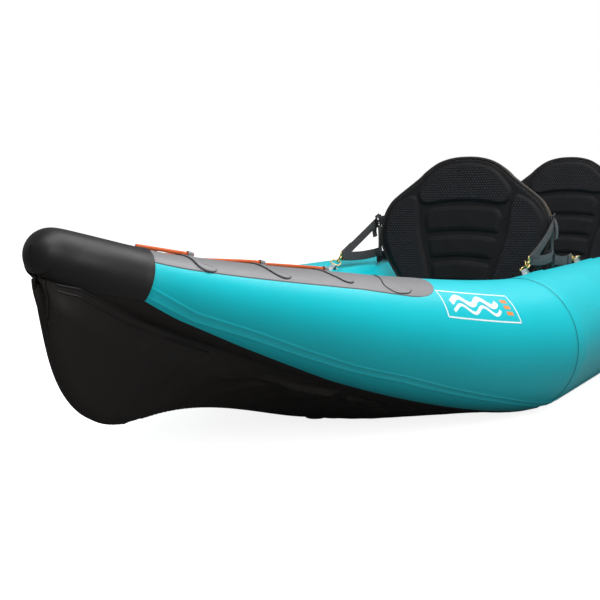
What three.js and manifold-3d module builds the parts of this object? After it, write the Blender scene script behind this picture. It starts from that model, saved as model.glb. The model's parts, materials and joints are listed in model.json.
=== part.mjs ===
// Two-person inflatable kayak, built from the separate pieces that it comes apart into.
// Units are millimetres. +X points to the bow, +Y to port and +Z up.
// The origin is on the ground, in the middle of the hull.

import * as THREE from "three";
import { mergeVertices } from "three/addons/utils/BufferGeometryUtils.js";
import Module from "manifold-3d";

const wasm = await Module();
wasm.setup();

// ---------------------------------------------------------------- driving dimensions

const gap = 0.5;                 // clearance between pieces that rest on each other
const skinThickness = 3;         // bottom skin
const coverThickness = 3;        // nose covers, crest strips and keel panels

// Side tubes: straight in the middle, then tapering, closing in and rising towards each nose.
const tubeRadius = 145;
const tubeOffset = 335;          // centre line to tube axis, amidships
const tubeLift = skinThickness + gap;
const ringX = 800;               // seam ring where the taper starts
const tipX = 1886;               // where the taper would end
const tipRadius = 36;
const tipOffset = 38;
const tipHeight = 400;
const narrowing = 1.08;          // exponents of the taper towards the nose
const rising = 1.42;
const thinning = 1.28;
const closing = 46.7;            // how much further the tubes close in at the very nose
const closingPower = 8;
const endX = 1872;               // where the rounded end starts, the tubes there being one nose
const noseStart = 1700;          // forward of this the tube's sections turn square to the hull
const tubeSides = 20;
const tubeStations = [ringX, 910, 1030, 1150, 1270, 1385, 1490, 1585, 1660, 1715, 1762, 1800, 1838, endX];

// Keel line: flat amidships, then a rocker, a rounded forefoot and an upright stem.
const rockerStart = 980;
const rockerEnd = 1660;
const rockerHeight = 125;
const forefootX = 1690;
const stemX = 1886;
const stemTopZ = 360;
const forefootPower = 2.6;       // superellipse exponent of the forefoot

// Bottom skin: its glued edge and the line where it leaves the tube, as [x, angle] pairs.
// Angles are measured on the tube's section from its outermost side, downwards negative.
const skinEdge = [
  [800, -72], [1200, -84], [1360, -84], [1450, -75], [1590, -63], [1700, -50], [1766, -35], [1900, -15],
];
const skinCrease = [[800, -90], [1300, -93], [1650, -98], [1745, -80], [1800, -63], [1890, -42]];
const keelPanelTopX = 1620;      // the keel panel's aft seam runs from here at its top
const keelPanelFootX = 1730;     // to here on the keel

// Nose cover, crest strips and bungee loops.
const coverX = 1762;
const coverEdgeHeight = 331;     // its lower edge, at coverX
const coverEdgeSlope = 20;       // degrees, rising towards the tip
const coverWrapX = 1876;         // fore of this it closes under the nose
const stripMiddle = 88;          // angle of the strip's centre line on the tube
const stripHalfWidth = [
  [1178, 14], [1184, 23], [1197, 33], [1225, 41], [1290, 45],
  [1385, 43], [1475, 45], [1565, 48], [1700, 54], [1757, 55],
];
const loopPlaces = [[1690, 82], [1560, 82], [1425, 82]];
const loopRadius = 8;
const loopLeg = 8.5;
const loopWire = 2;
const bungeeRadius = 3;
const bungeeLift = 12;           // bungee centre above the tube's wall

// Inflated floor.
const floorEndX = 1150;
const floorHalfWidth = 212;
const floorThickness = 58;
const floorBottom = skinThickness + 1;
const floorTop = floorBottom + floorThickness;

// Seats. Both are alike; the rear one is a metre further aft, on a thicker cushion.
const seats = [{ name: "front_seat", x: 0, rise: 0 }, { name: "rear_seat", x: -1000, rise: 22 }];
const hinge = { x: 325, z: 128 };
const backLean = 8;              // degrees aft of upright
const backThickness = 28;
const padFront = 12;             // the pad's face, ahead of the hinge line
const shellThickness = 5;
const backOutline = [[136, 12], [150, 30], [168, 80], [196, 122], [226, 165], [247, 208], [252, 243],
  [243, 292], [226, 325], [204, 347], [141, 395], [118, 416], [82, 440], [42, 452], [0, 455]];
const cushionLength = 440;
const cushionHalfWidth = 183;
const cushionThickness = 50;
const cushionCorner = 60;

// Seat straps, their rings and hooks.
const strapWidth = 25;
const strapThickness = 2.4;
const wire = 1.8;                // ring and hook wire radius
const ringRadius = 12;
const hookRadius = 6.5;
const frontAnchor = { x: 555, angle: 116 };
const rearAnchor = { x: 105, angle: 116 };
const upperBuckle = { x: 298, z: 402 };   // takes the front strap
const lowerBuckle = { x: 296, z: 300 };   // takes the rear strap
const lowerLoop = { x: 318, z: 310 };     // where the front strap's lower branch ends
const buckleY = 254;
const strapTopY = 264;

// Fittings.
const togglePivotX = coverX - 14;
const toggleDrop = 17;           // toggle pin below the nose cover's roof
const toggleLugY = 9.5;
const togglePin = 3.5;
const toggleReach = 76;
const valves = [
  { name: "port_tube_valve", x: -330, side: 1, angle: 140 },
  { name: "starboard_tube_valve", x: -330, side: -1, angle: 140 },
  { name: "floor_valve", x: -765, side: 0 },
];
const drainX = 1120;

// ---------------------------------------------------------------- materials

const finish = (color, roughness, metalness = 0) =>
  new THREE.MeshStandardMaterial({ color, roughness, metalness });
const tealPvc = () => finish(0x0fb4c6, 0.42);
const blackTarpaulin = () => finish(0x151313, 0.7);
const blackRubber = () => finish(0x242427, 0.62);
const greyPvc = () => finish(0x6d6e71, 0.55);
const orangeCord = () => finish(0xf06a25, 0.6);
const blackFoam = () => finish(0x131317, 0.85);
const webbing = () => finish(0x35363a, 0.9);
const brass = () => finish(0xc9a45a, 0.3, 1);
const blackPlastic = () => finish(0x1b1b1d, 0.5);
const greyPlastic = () => finish(0x8d9094, 0.5);
const floorPvc = () => finish(0x3b3d41, 0.6);

// ---------------------------------------------------------------- maths helpers

const rad = THREE.MathUtils.degToRad;
const vec = (x, y, z) => new THREE.Vector3(x, y, z);
const smooth = (t) => {
  const c = Math.min(1, Math.max(0, t));
  return c * c * (3 - 2 * c);
};

// Value at x of a list of [x, value] pairs, straight between them and constant beyond them.
function along(pairs, x) {
  const a = Math.abs(x);
  if (a <= pairs[0][0]) return pairs[0][1];
  for (let i = 1; i < pairs.length; i++) {
    const [x0, v0] = pairs[i - 1];
    const [x1, v1] = pairs[i];
    if (a <= x1) return v0 + ((v1 - v0) * (a - x0)) / (x1 - x0);
  }
  return pairs[pairs.length - 1][1];
}

function evenly(from, to, count) {
  return Array.from({ length: count + 1 }, (_, i) => from + ((to - from) * i) / count);
}

// ---------------------------------------------------------------- solids

function weld(geometry) {
  const bare = geometry.clone();
  bare.deleteAttribute("normal");
  bare.deleteAttribute("uv");
  return mergeVertices(bare, 1e-4);
}

function toSolid(geometry) {
  const welded = weld(geometry);
  const mesh = new wasm.Mesh({
    numProp: 3,
    vertProperties: new Float32Array(welded.attributes.position.array),
    triVerts: new Uint32Array(welded.index.array),
  });
  return new wasm.Manifold(mesh);
}

function toGeometry(solid) {
  const mesh = solid.getMesh();
  const geometry = new THREE.BufferGeometry();
  geometry.setAttribute("position", new THREE.BufferAttribute(new Float32Array(mesh.vertProperties), 3));
  geometry.setIndex(new THREE.BufferAttribute(new Uint32Array(mesh.triVerts), 1));
  geometry.computeVertexNormals();
  return geometry;
}

const joined = (...pieces) => toGeometry(pieces.map(toSolid).reduce((all, piece) => all.add(piece)));
const cut = (piece, ...tools) =>
  toGeometry(tools.map(toSolid).reduce((rest, tool) => rest.subtract(tool), toSolid(piece)));

function meshFrom(points, faces) {
  const geometry = new THREE.BufferGeometry();
  const places = points.flatMap((p) => [p.x, p.y, p.z]);
  geometry.setAttribute("position", new THREE.Float32BufferAttribute(places, 3));
  geometry.setIndex(faces);
  geometry.computeVertexNormals();
  return geometry;
}

function volumeOf(points, faces) {
  let six = 0;
  for (let i = 0; i < faces.length; i += 3) {
    const [a, b, c] = [points[faces[i]], points[faces[i + 1]], points[faces[i + 2]]];
    six += a.dot(vec(0, 0, 0).crossVectors(b, c));
  }
  return six / 6;
}

function facingOut(points, faces) {
  if (volumeOf(points, faces) < 0) {
    for (let i = 0; i < faces.length; i += 3) [faces[i], faces[i + 1]] = [faces[i + 1], faces[i]];
  }
  return meshFrom(points, faces);
}

// Closed solid through a row of rings with equal point counts, its ends filled by fans.
function loft(rings) {
  const count = rings[0].length;
  const points = rings.flat();
  const faces = [];
  for (let i = 0; i + 1 < rings.length; i++) {
    for (let j = 0; j < count; j++) {
      const a = i * count + j;
      const b = i * count + ((j + 1) % count);
      faces.push(a, b, b + count, a, b + count, a + count);
    }
  }
  const last = rings.length - 1;
  for (const [ring, start, turn] of [[rings[0], 0, -1], [rings[last], last * count, 1]]) {
    const centre = ring.reduce((sum, p) => sum.add(p), vec(0, 0, 0)).divideScalar(count);
    points.push(centre);
    for (let j = 0; j < count; j++) {
      const a = start + j;
      const b = start + ((j + 1) % count);
      faces.push(...(turn > 0 ? [a, b, points.length - 1] : [b, a, points.length - 1]));
    }
  }
  return facingOut(points, faces);
}

// Closed sheet between an inner and an outer grid of points, with walls round its border.
function sheet(inner, outer) {
  const rows = inner.length;
  const columns = inner[0].length;
  const points = [...inner.flat(), ...outer.flat()];
  const under = rows * columns;
  const faces = [];
  for (let i = 0; i + 1 < rows; i++) {
    for (let j = 0; j + 1 < columns; j++) {
      const a = i * columns + j;
      const b = a + columns;
      faces.push(a, a + 1, b + 1, a, b + 1, b);
      faces.push(a + under, b + 1 + under, a + 1 + under, a + under, b + under, b + 1 + under);
    }
  }
  const border = [];
  for (let j = 0; j < columns; j++) border.push(j);
  for (let i = 1; i < rows; i++) border.push(i * columns + columns - 1);
  for (let j = columns - 2; j >= 0; j--) border.push((rows - 1) * columns + j);
  for (let i = rows - 2; i >= 1; i--) border.push(i * columns);
  for (let k = 0; k < border.length; k++) {
    const a = border[k];
    const b = border[(k + 1) % border.length];
    faces.push(b, a, a + under, b, a + under, b + under);
  }
  return facingOut(points, faces);
}

// Closed ring of bar through points that lie in one plane, whose normal is given.
function ringBar(points, radius, sides, normal) {
  const count = points.length;
  const rings = points.map((point, i) => {
    const ahead = points[(i + 1) % count].clone().sub(points[(i + count - 1) % count]).normalize();
    const across = vec(0, 0, 0).crossVectors(ahead, normal);
    return evenly(0, 360, sides).slice(0, -1).map((turn) => point.clone()
      .addScaledVector(across, radius * Math.cos(rad(turn)))
      .addScaledVector(normal, radius * Math.sin(rad(turn))));
  });
  const faces = [];
  for (let i = 0; i < count; i++) {
    for (let j = 0; j < sides; j++) {
      const a = i * sides + j;
      const b = i * sides + ((j + 1) % sides);
      const [c, d] = [a, b].map((k) => (k + sides) % (count * sides));
      faces.push(a, b, d, a, d, c);
    }
  }
  return facingOut(rings.flat(), faces);
}

// Round bar with one ring at each given point, its section carried along without twist.
function cord(points, radius, sides = 5) {
  let across = vec(0, 0, 0);
  return loft(points.map((point, i) => {
    const before = points[Math.max(0, i - 1)];
    const after = points[Math.min(points.length - 1, i + 1)];
    const ahead = after.clone().sub(before).normalize();
    if (i === 0) across.set(0.3, 0.2, 0.9);
    across.addScaledVector(ahead, -across.dot(ahead)).normalize();
    const other = vec(0, 0, 0).crossVectors(ahead, across);
    return evenly(0, 360, sides).slice(0, -1).map((turn) => point.clone()
      .addScaledVector(across, radius * Math.cos(rad(turn)))
      .addScaledVector(other, radius * Math.sin(rad(turn))));
  }));
}

function box(width, depth, height, centre = vec(0, 0, 0)) {
  return new THREE.BoxGeometry(width, depth, height).translate(centre.x, centre.y, centre.z);
}

// Turned piece about +Z from [radius, height] pairs.
function turned(profile, segments = 16) {
  const outline = profile.map(([r, z]) => new THREE.Vector2(r, z));
  return new THREE.LatheGeometry(outline, segments).rotateX(Math.PI / 2);
}

function mirroredY(geometry) {
  const flipped = weld(geometry).scale(1, -1, 1);
  const index = Array.from(flipped.index.array);
  for (let i = 0; i < index.length; i += 3) [index[i], index[i + 1]] = [index[i + 1], index[i]];
  flipped.setIndex(index);
  flipped.computeVertexNormals();
  return flipped;
}

function mirroredX(geometry) {
  return mirroredY(geometry).rotateZ(Math.PI);
}

// ---------------------------------------------------------------- tube shape

function tubeAt(x) {
  const s = Math.max(0, (Math.abs(x) - ringX) / (tipX - ringX));
  return {
    y: Math.max(0, tubeOffset - (tubeOffset - tipOffset) * s ** narrowing - closing * s ** closingPower),
    z: tubeRadius + tubeLift + (tipHeight - tubeRadius - tubeLift) * s ** rising,
    r: tubeRadius - (tubeRadius - tipRadius) * s ** thinning,
  };
}

// Port tube's centre, its radius and the three directions of its section at x.
function tubeFrame(x) {
  const at = tubeAt(x);
  const step = 1;
  const [before, after] = [tubeAt(x - step), tubeAt(x + step)];
  const square = smooth((Math.abs(x) - noseStart) / (endX - noseStart));
  const forward = vec(2 * step, (after.y - before.y) * (1 - square), after.z - before.z).normalize();
  const outward = vec(-forward.y, forward.x, 0).normalize();
  const upward = vec(0, 0, 0).crossVectors(forward, outward);
  return { centre: vec(x, at.y, at.z), radius: at.r, forward, outward, upward };
}

function radialAt(frame, angle) {
  return frame.outward.clone().multiplyScalar(Math.cos(rad(angle)))
    .addScaledVector(frame.upward, Math.sin(rad(angle)));
}

// Point on the port tube at x and an angle in degrees, lifted off its wall.
function tubePoint(x, angle, lift = 0) {
  const frame = tubeFrame(x);
  return frame.centre.clone().addScaledVector(radialAt(frame, angle), frame.radius + lift);
}

// Point on the rounded end beyond the last station; turn goes from 0 at the station to 90 at the apex.
function endPoint(turn, angle, lift = 0) {
  const frame = tubeFrame(endX);
  const reach = frame.radius + lift;
  return frame.centre.clone().addScaledVector(frame.forward, reach * Math.sin(rad(turn)))
    .addScaledVector(radialAt(frame, angle), reach * Math.cos(rad(turn)));
}

const endTurns = [28, 56, 80];
const allStations = [...tubeStations.map((x) => -x).reverse(), ...tubeStations];
const aroundTube = evenly(0, 360, tubeSides).slice(0, -1);

// The tubes press flat against each other at the noses, so each is cut off just short of the middle plane.
function portTube() {
  const bowRings = endTurns.map((turn) => aroundTube.map((angle) => endPoint(turn, angle)));
  const sternRings = bowRings.map((ring) => ring.map((p) => vec(-p.x, p.y, p.z))).reverse();
  const body = allStations.map((x) => aroundTube.map((angle) => tubePoint(x, angle)));
  const otherSide = box(2 * tipX + 200, 200, 900, vec(0, -100 + gap / 2, tipHeight));
  return cut(loft([...sternRings, ...body, ...bowRings]), otherSide);
}

// ---------------------------------------------------------------- bottom skin and keel panels

// Keel points from amidships to the top of the stem.
function keelPoint(x) {
  const rocker = rockerHeight * smooth((x - rockerStart) / (rockerEnd - rockerStart));
  if (x <= forefootX) return vec(x, 0, skinThickness + rocker);
  const share = Math.min(1, (x - forefootX) / (stemX - forefootX));
  const height = stemTopZ - rockerHeight - skinThickness;
  return vec(x, 0, stemTopZ - height * (1 - share ** forefootPower) ** (1 / forefootPower));
}

const forefootShares = [0.25, 0.45, 0.62, 0.76, 0.87, 0.94, 0.98, 0.9975];
const skinStations = [...tubeStations.filter((x) => x < 1680), forefootX,
  ...forefootShares.map((share) => forefootX + share * (stemX - forefootX))];
const bandSteps = 3;
const wallSteps = 3;

// Port half of the skin at a station: points and outward normals from its glued edge to the keel.
function skinRow(x) {
  const frame = tubeFrame(x);
  const edge = along(skinEdge, x);
  const crease = along(skinCrease, x);
  const step = (edge - crease) / bandSteps;
  const slack = x > ringX ? gap + 0.7 : gap;
  const lift = slack + frame.radius * (1 / Math.cos(rad(step / 2)) - 1);
  const row = evenly(edge, crease, bandSteps).map((angle, i) => ({
    point: tubePoint(x, angle, i === bandSteps ? slack : lift),
    normal: radialAt(frame, angle),
  }));
  const keel = keelPoint(x);
  const leave = row[bandSteps].point;
  const ahead = keelPoint(Math.min(stemX, x + 1)).sub(keelPoint(Math.min(stemX, x + 1) - 2)).normalize();
  const down = keel.clone().sub(leave).normalize();
  const wallNormal = vec(0, 0, 0).crossVectors(ahead, down).normalize();
  if (wallNormal.y < 0 || (wallNormal.y === 0 && wallNormal.z > 0)) wallNormal.negate();
  if (x <= ringX) wallNormal.set(0, 0, -1);
  row[bandSteps].normal = wallNormal;
  for (let i = 1; i < wallSteps; i++) {
    row.push({ point: leave.clone().lerp(keel, i / wallSteps), normal: wallNormal });
  }
  row.push({ point: keel, normal: vec(-ahead.z, 0, ahead.x).negate() });
  return row;
}

// Full rows from port edge to starboard edge, pushed out along their normals.
function skinGrid(stations, lift, firstColumn = 0) {
  return stations.map((x) => {
    const half = skinRow(Math.abs(x)).slice(firstColumn)
      .map(({ point, normal }) => point.clone().addScaledVector(normal, lift));
    const full = [...half, ...half.slice(0, -1).reverse().map((p) => vec(p.x, -p.y, p.z))];
    return x < 0 ? full.map((p) => vec(-p.x, p.y, p.z)) : full;
  });
}

// Block above the nose cover's lower edge, dropped by a margin; it reaches fore of coverX only.
function aboveCoverEdge(margin) {
  const block = box(500, 400, 300, vec(250, 0, 150));
  block.rotateY(-rad(coverEdgeSlope)).translate(coverX - 2, 0, coverEdgeHeight - margin);
  return block;
}

// Room for one nose cover: the block above its edge and the block round its wrapped front.
function underNose(side, margin) {
  const wrapped = box(100, 400, 200).translate(coverWrapX + 50, 0, stemTopZ + 90);
  const blocks = [aboveCoverEdge(margin), wrapped];
  return side > 0 ? blocks : blocks.map(mirroredX);
}

function bottomSkin() {
  const stations = [...skinStations.map((x) => -x).reverse(), ...skinStations];
  const whole = sheet(skinGrid(stations, 0), skinGrid(stations, skinThickness));
  return cut(whole, ...underNose(1, 2), ...underNose(-1, 2));
}

function keelPanel(side) {
  const stations = skinStations.filter((x) => x > 1560).map((x) => side * x).sort((a, b) => a - b);
  const inside = skinThickness + gap;
  const outside = inside + coverThickness;
  const whole = sheet(skinGrid(stations, inside, bandSteps), skinGrid(stations, outside, bandSteps));
  const aftCut = box(600, 400, 800, vec(-300, 0, 0));
  aftCut.rotateY(Math.atan2(keelPanelTopX - keelPanelFootX, 100)).translate(keelPanelFootX, 0, rockerHeight);
  return cut(whole, ...underNose(side, 5), side > 0 ? aftCut : mirroredX(aftCut));
}

// ---------------------------------------------------------------- nose cover

// Rounded bag shape round both tube ends, from a start station to the apex.
function noseRings(fromX, lift) {
  const angles = evenly(-90, 90, tubeSides / 2);
  const bothSides = (half) => [...half, ...half.map((p) => vec(p.x, -p.y, p.z)).reverse()];
  const stations = [fromX, ...tubeStations.filter((x) => x > fromX)];
  const body = stations.map((x) => bothSides(angles.map((angle) => tubePoint(x, angle, lift))));
  const end = endTurns.map((turn) => bothSides(angles.map((angle) => endPoint(turn, angle, lift))));
  return loft([...body, ...end]);
}

// Two lugs and a pin under the cover's aft rim, for the carry toggle.
function togglePivot() {
  const roof = tubePoint(coverX, 90, gap).z;
  const lugs = [1, -1].map((side) => box(16, 4, 21, vec(togglePivotX + 1.5, side * toggleLugY, roof - 10)));
  const pin = new THREE.CylinderGeometry(togglePin, togglePin, 2 * toggleLugY, 10);
  return [...lugs, pin.translate(togglePivotX, 0, roof - toggleDrop)];
}

function noseCover() {
  const outside = noseRings(coverX, gap + coverThickness);
  const inside = noseRings(1715, gap);
  const below = box(130, 400, 200, vec(65, 0, -100));
  below.rotateY(-rad(coverEdgeSlope)).translate(coverX, 0, coverEdgeHeight);
  const behind = box(100, 400, 400, vec(-50 + coverX - 12, 0, 200));
  return joined(cut(outside, inside, below, behind), ...togglePivot());
}

// ---------------------------------------------------------------- crest strips and bungee

// Sheet lying on the port tube between stations, its columns at angles given by a function of x.
function tubeSheet(stations, anglesAt, thickness) {
  const rows = (extra) => stations.map((x) => {
    const angles = anglesAt(x);
    const step = Math.abs(angles[1] - angles[0]);
    const radius = tubeAt(x).r;
    const lift = gap + 1.6 + radius * (1 / Math.cos(rad(step / 2)) - 1);
    return angles.map((angle) => tubePoint(x, angle, lift + extra));
  });
  return sheet(rows(0), rows(thickness));
}

// Small arched loop standing on the port tube; its legs are apart along a given direction.
function archLoop(x, angle, acrossTube, footLift) {
  const frame = tubeFrame(x);
  const up = radialAt(frame, angle);
  const around = vec(0, 0, 0).crossVectors(frame.forward, up);
  const spread = acrossTube ? around : frame.forward;
  const foot = tubePoint(x, angle, footLift);
  const at = (s, h) => foot.clone().addScaledVector(spread, s).addScaledVector(up, h);
  const points = [at(loopRadius, 0), at(loopRadius, loopLeg)];
  for (const turn of [45, 90, 135]) {
    points.push(at(loopRadius * Math.cos(rad(turn)), loopLeg + loopRadius * Math.sin(rad(turn))));
  }
  points.push(at(-loopRadius, loopLeg), at(-loopRadius, 0));
  return cord(points, loopWire);
}

function crestStrip() {
  const stations = stripHalfWidth.map(([x]) => x);
  const anglesAt = (x) => {
    const half = along(stripHalfWidth, x);
    return evenly(stripMiddle - half, stripMiddle + half, 5);
  };
  const strip = tubeSheet(stations, anglesAt, coverThickness);
  const loops = loopPlaces.map(([x, angle]) => archLoop(x, angle, true, 2.2));
  return joined(strip, ...loops);
}

// One elastic cord: from the nose over port and starboard loops in turn, across, and back to the nose.
function bungee() {
  const place = ([x, angle], side) => {
    const p = tubePoint(x, angle, bungeeLift);
    return vec(p.x, side * p.y, p.z);
  };
  const overCrest = (x, side) => place([x, 95], side);
  const crossing = 28;           // the cord comes over the crest this far fore or aft of its loop
  const shoulder = ([x, angle], away, side) => place([x + away * 19, (angle + 95) / 2], side);
  const under = ([x, angle], away, side) => place([x + away * 8, angle], side);
  const run = (first, rise) => {
    const nose = loopPlaces[0];
    const points = [place([coverX - 9, 122], first), overCrest(nose[0] + crossing, first),
      shoulder(nose, 1, first), under(nose, 1, first), under(nose, -1, first)];
    loopPlaces.slice(1).forEach((loop, i) => {
      const from = i % 2 ? -first : first;
      const leave = overCrest(loopPlaces[i][0] - crossing, from);
      const arrive = overCrest(loop[0] + crossing, -from);
      const crossed = leave.clone().lerp(arrive, 0.5).add(vec(0, 0, rise));
      points.push(shoulder(loopPlaces[i], -1, from), leave, crossed, arrive);
      points.push(shoulder(loop, 1, -from), under(loop, 1, -from), under(loop, -1, -from));
    });
    return points;
  };
  const out = run(1, 5);
  const back = run(-1, -5).reverse();
  const last = loopPlaces[loopPlaces.length - 1];
  const across = [overCrest(last[0] - crossing, 1), overCrest(last[0] - crossing, -1)];
  return cord([...out, shoulder(last, -1, 1), ...across, shoulder(last, -1, -1), ...back], bungeeRadius, 6);
}

// ---------------------------------------------------------------- floor

function inflatableFloor() {
  const stations = [0, ...tubeStations.filter((x) => x <= floorEndX)];
  const both = [...stations.slice(1).map((x) => -x).reverse(), ...stations];
  const bevel = 14;
  return loft(both.map((x) => {
    const beyond = Math.max(0, Math.abs(x) - ringX);
    const half = floorHalfWidth * (0.3 + 0.7 * Math.sqrt(1 - (beyond / (floorEndX - ringX + 10)) ** 2));
    const keel = keelPoint(Math.abs(x)).z;
    const wall = tubePoint(Math.abs(x), along(skinCrease, x), gap);
    const skinAt = (y) => keel + ((wall.z - keel) * y) / wall.y;
    const rest = floorBottom - skinThickness + 0.06 * beyond;
    const low = skinAt(half) + rest;
    const top = low + floorThickness - 0.06 * beyond;
    const flat = half - bevel;
    const port = [[flat, skinAt(flat) + rest], [half, low + bevel], [half, top - bevel], [flat, top]];
    const starboard = port.map(([y, z]) => [-y, z]).reverse();
    return [[0, keel + rest], ...port, ...starboard].map(([y, z]) => vec(x, y, z));
  }));
}

// ---------------------------------------------------------------- seats

function outlineShape(inset) {
  const apex = backOutline[backOutline.length - 1][1];
  const side = backOutline.map(([y, z]) => [
    Math.max(0, y - inset * (y > 100 ? 1 : 0.4)),
    Math.min(z, apex - inset) + (z < 100 ? inset * 0.5 : 0),
  ]);
  const shape = new THREE.Shape();
  shape.moveTo(...side[0]);
  side.slice(1).forEach(([y, z]) => shape.lineTo(y, z));
  side.slice(0, -1).reverse().forEach(([y, z]) => shape.lineTo(-y, z));
  shape.closePath();
  return shape;
}

// Panel in the backrest's own upright frame: outline across Y and up Z, thickness aft from x = front.
function backPanel(front, thickness, inset) {
  const panel = new THREE.ExtrudeGeometry(outlineShape(inset), { depth: thickness, bevelEnabled: false });
  panel.rotateX(Math.PI / 2).rotateZ(Math.PI / 2);
  return panel.translate(front - thickness, 0, 0);
}

function seatCushion(thickness) {
  const shape = new THREE.Shape();
  const [x0, x1, y1, c] = [0, cushionLength, cushionHalfWidth, cushionCorner];
  shape.moveTo(x0, -y1);
  shape.lineTo(x1 - c, -y1);
  shape.quadraticCurveTo(x1, -y1, x1, -y1 + c);
  shape.lineTo(x1, y1 - c);
  shape.quadraticCurveTo(x1, y1, x1 - c, y1);
  shape.lineTo(x0, y1);
  shape.closePath();
  return new THREE.ExtrudeGeometry(shape, { depth: thickness, bevelEnabled: false, curveSegments: 4 });
}

// Two slotted buckles on the seat back's edge, one above the other, with a band between them.
function buckle() {
  const frames = [upperBuckle, lowerBuckle];
  const at = (place, dz) => vec(place.x, buckleY + 2, place.z + dz);
  const middle = at(upperBuckle, 0).lerp(at(lowerBuckle, 0), 0.5);
  const band = box(20, 2, upperBuckle.z - lowerBuckle.z - 32, middle);
  const whole = joined(band, ...frames.map((place) => box(38, 4, 36, at(place, 0))));
  return cut(whole, ...frames.flatMap((place) => [8, -8].map((dz) => box(28, 10, 6, at(place, dz)))));
}

// ---------------------------------------------------------------- strap chain on a tube

// Everything between the tube and the seat back on one side: glued anchor with its ring, hook and straps.
function strapChain(anchorX, anchorAngle, tops) {
  const frame = tubeFrame(anchorX);
  const up = radialAt(frame, anchorAngle);
  const around = vec(0, 0, 0).crossVectors(frame.forward, up);
  const foot = tubePoint(anchorX, anchorAngle, 0);
  const loopClear = foot.clone().addScaledVector(up, loopRadius + loopLeg);
  const pull = tops[0].clone().sub(loopClear).normalize();
  const wireAcross = around.clone().addScaledVector(pull, -around.dot(pull)).normalize();
  const ringNormal = vec(0, 0, 0).crossVectors(pull, wireAcross).normalize();
  const ringCentre = loopClear.clone().addScaledVector(pull, ringRadius);
  const ringPoints = evenly(0, 360, 10).slice(0, -1).map((turn) => ringCentre.clone()
    .addScaledVector(pull, ringRadius * Math.cos(rad(turn)))
    .addScaledVector(wireAcross, ringRadius * Math.sin(rad(turn))));
  const hookCentre = ringCentre.clone().addScaledVector(pull, ringRadius + 2);
  const onHook = (turn, radius = hookRadius) => hookCentre.clone()
    .addScaledVector(pull, radius * Math.cos(rad(turn)))
    .addScaledVector(ringNormal, radius * Math.sin(rad(turn)));
  const crook = cord(evenly(0, -240, 6).map((turn) => onHook(turn)), wire);
  const shank = hookCentre.clone().addScaledVector(pull, hookRadius - 0.5);
  const eyeCentre = shank.clone().addScaledVector(pull, 9);
  const strapWide = vec(0, 0, 0).crossVectors(pull, vec(0, 1, 0)).normalize();
  const eyeAt = (a, b) => eyeCentre.clone().addScaledVector(pull, a).addScaledVector(strapWide, b);
  const half = strapWidth / 2 + 2;
  const eye = ringBar([eyeAt(4, half), eyeAt(4, -half), eyeAt(-5, -half * 0.6), eyeAt(-5, half * 0.6)],
    wire, 6, vec(0, 0, 0).crossVectors(pull, strapWide));
  const stem = cord([shank, eyeAt(-5, 0)], 2.6);
  const gate = cord([onHook(125), onHook(60), onHook(0)], 1.2, 4);
  const start = eyeAt(4, 0).addScaledVector(pull, wire + 1.2);
  const patchStations = evenly(anchorX - 32, anchorX + 32, 2);
  const patch = tubeSheet(patchStations, () => evenly(anchorAngle - 14, anchorAngle + 14, 3), 2.5);
  const ring = ringBar(ringPoints, wire, 6, ringNormal);
  return {
    anchor: joined(patch, archLoop(anchorX, anchorAngle, false, 1.6), ring),
    hook: joined(crook, gate, stem, eye),
    strap: joined(...tops.map((top, i) => ribbon(start.clone().addScaledVector(pull, 14 * i), top))),
  };
}

// Flat strap between two points, its width upright and its thin side facing outboard.
function ribbon(from, to) {
  const run = to.clone().sub(from);
  const length = run.length();
  const forward = run.normalize();
  const wide = vec(0, 0, 0).crossVectors(forward, vec(0, 1, 0)).normalize();
  const thin = vec(0, 0, 0).crossVectors(wide, forward).normalize();
  const strap = box(length, strapThickness, strapWidth, vec(length / 2, 0, 0));
  const place = new THREE.Matrix4().makeBasis(forward, thin, wide);
  if (place.determinant() < 0) place.makeBasis(forward, thin.negate(), wide);
  return strap.applyMatrix4(place).translate(from.x, from.y, from.z);
}

// ---------------------------------------------------------------- fittings

// Carry toggle: an eye round the nose cover's pin, a short strap and a cross grip.
function carryToggle() {
  const z = tubePoint(coverX, 90, gap).z - toggleDrop;
  const round = (radius, length, x) =>
    new THREE.CylinderGeometry(radius, radius, length, 12).translate(x, 0, z);
  const width = 2 * toggleLugY - 6;
  const strap = box(toggleReach - 4, width, 4, vec(togglePivotX - toggleReach / 2 - 2, 0, z));
  const solid = joined(round(togglePin + 4, width, togglePivotX), strap,
    round(9, 60, togglePivotX - toggleReach));
  return cut(solid, round(togglePin + 1.2, 60, togglePivotX));
}

// Push-and-lock air valve: a flanged body with an open throat, a spring plunger and a twist cap.
const valveBody = () => turned([
  [9, 0.2], [30, 0.2], [31, 2], [24, 4], [19, 4.5], [19, 12], [14, 12], [14, 3], [9, 3], [9, 0.2],
]);
const valvePlunger = () => turned([[0, 4], [4, 4], [4, 7], [8, 7], [8, 9], [3, 10], [0, 10]], 10);
const valveCap = () => {
  const shell = turned([[0, 14], [20, 14], [20, 6], [22.5, 6], [22.5, 15.5], [20.5, 17], [0, 17]]);
  return joined(shell, box(34, 5, 6, vec(0, 0, 19)));
};

const drainPlug = () => turned([[0, -5], [16, -5], [16, 0], [9, 0], [9, 8], [0, 8]], 12);

// ---------------------------------------------------------------- assembly

const kayak = new THREE.Group();

function add(name, geometry, material, parent = kayak) {
  const mesh = new THREE.Mesh(geometry, material);
  mesh.name = name;
  parent.add(mesh);
  return mesh;
}

// Places a fitting made about +Z on the port or starboard tube, or on the floor's top.
function seatOnTube(group, x, side, angle) {
  const frame = tubeFrame(x);
  const up = radialAt(frame, angle);
  const foot = tubePoint(x, angle, 0.3);
  up.y *= side;
  group.position.set(x, foot.y * side, foot.z);
  group.quaternion.setFromUnitVectors(vec(0, 0, 1), up);
}

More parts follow.
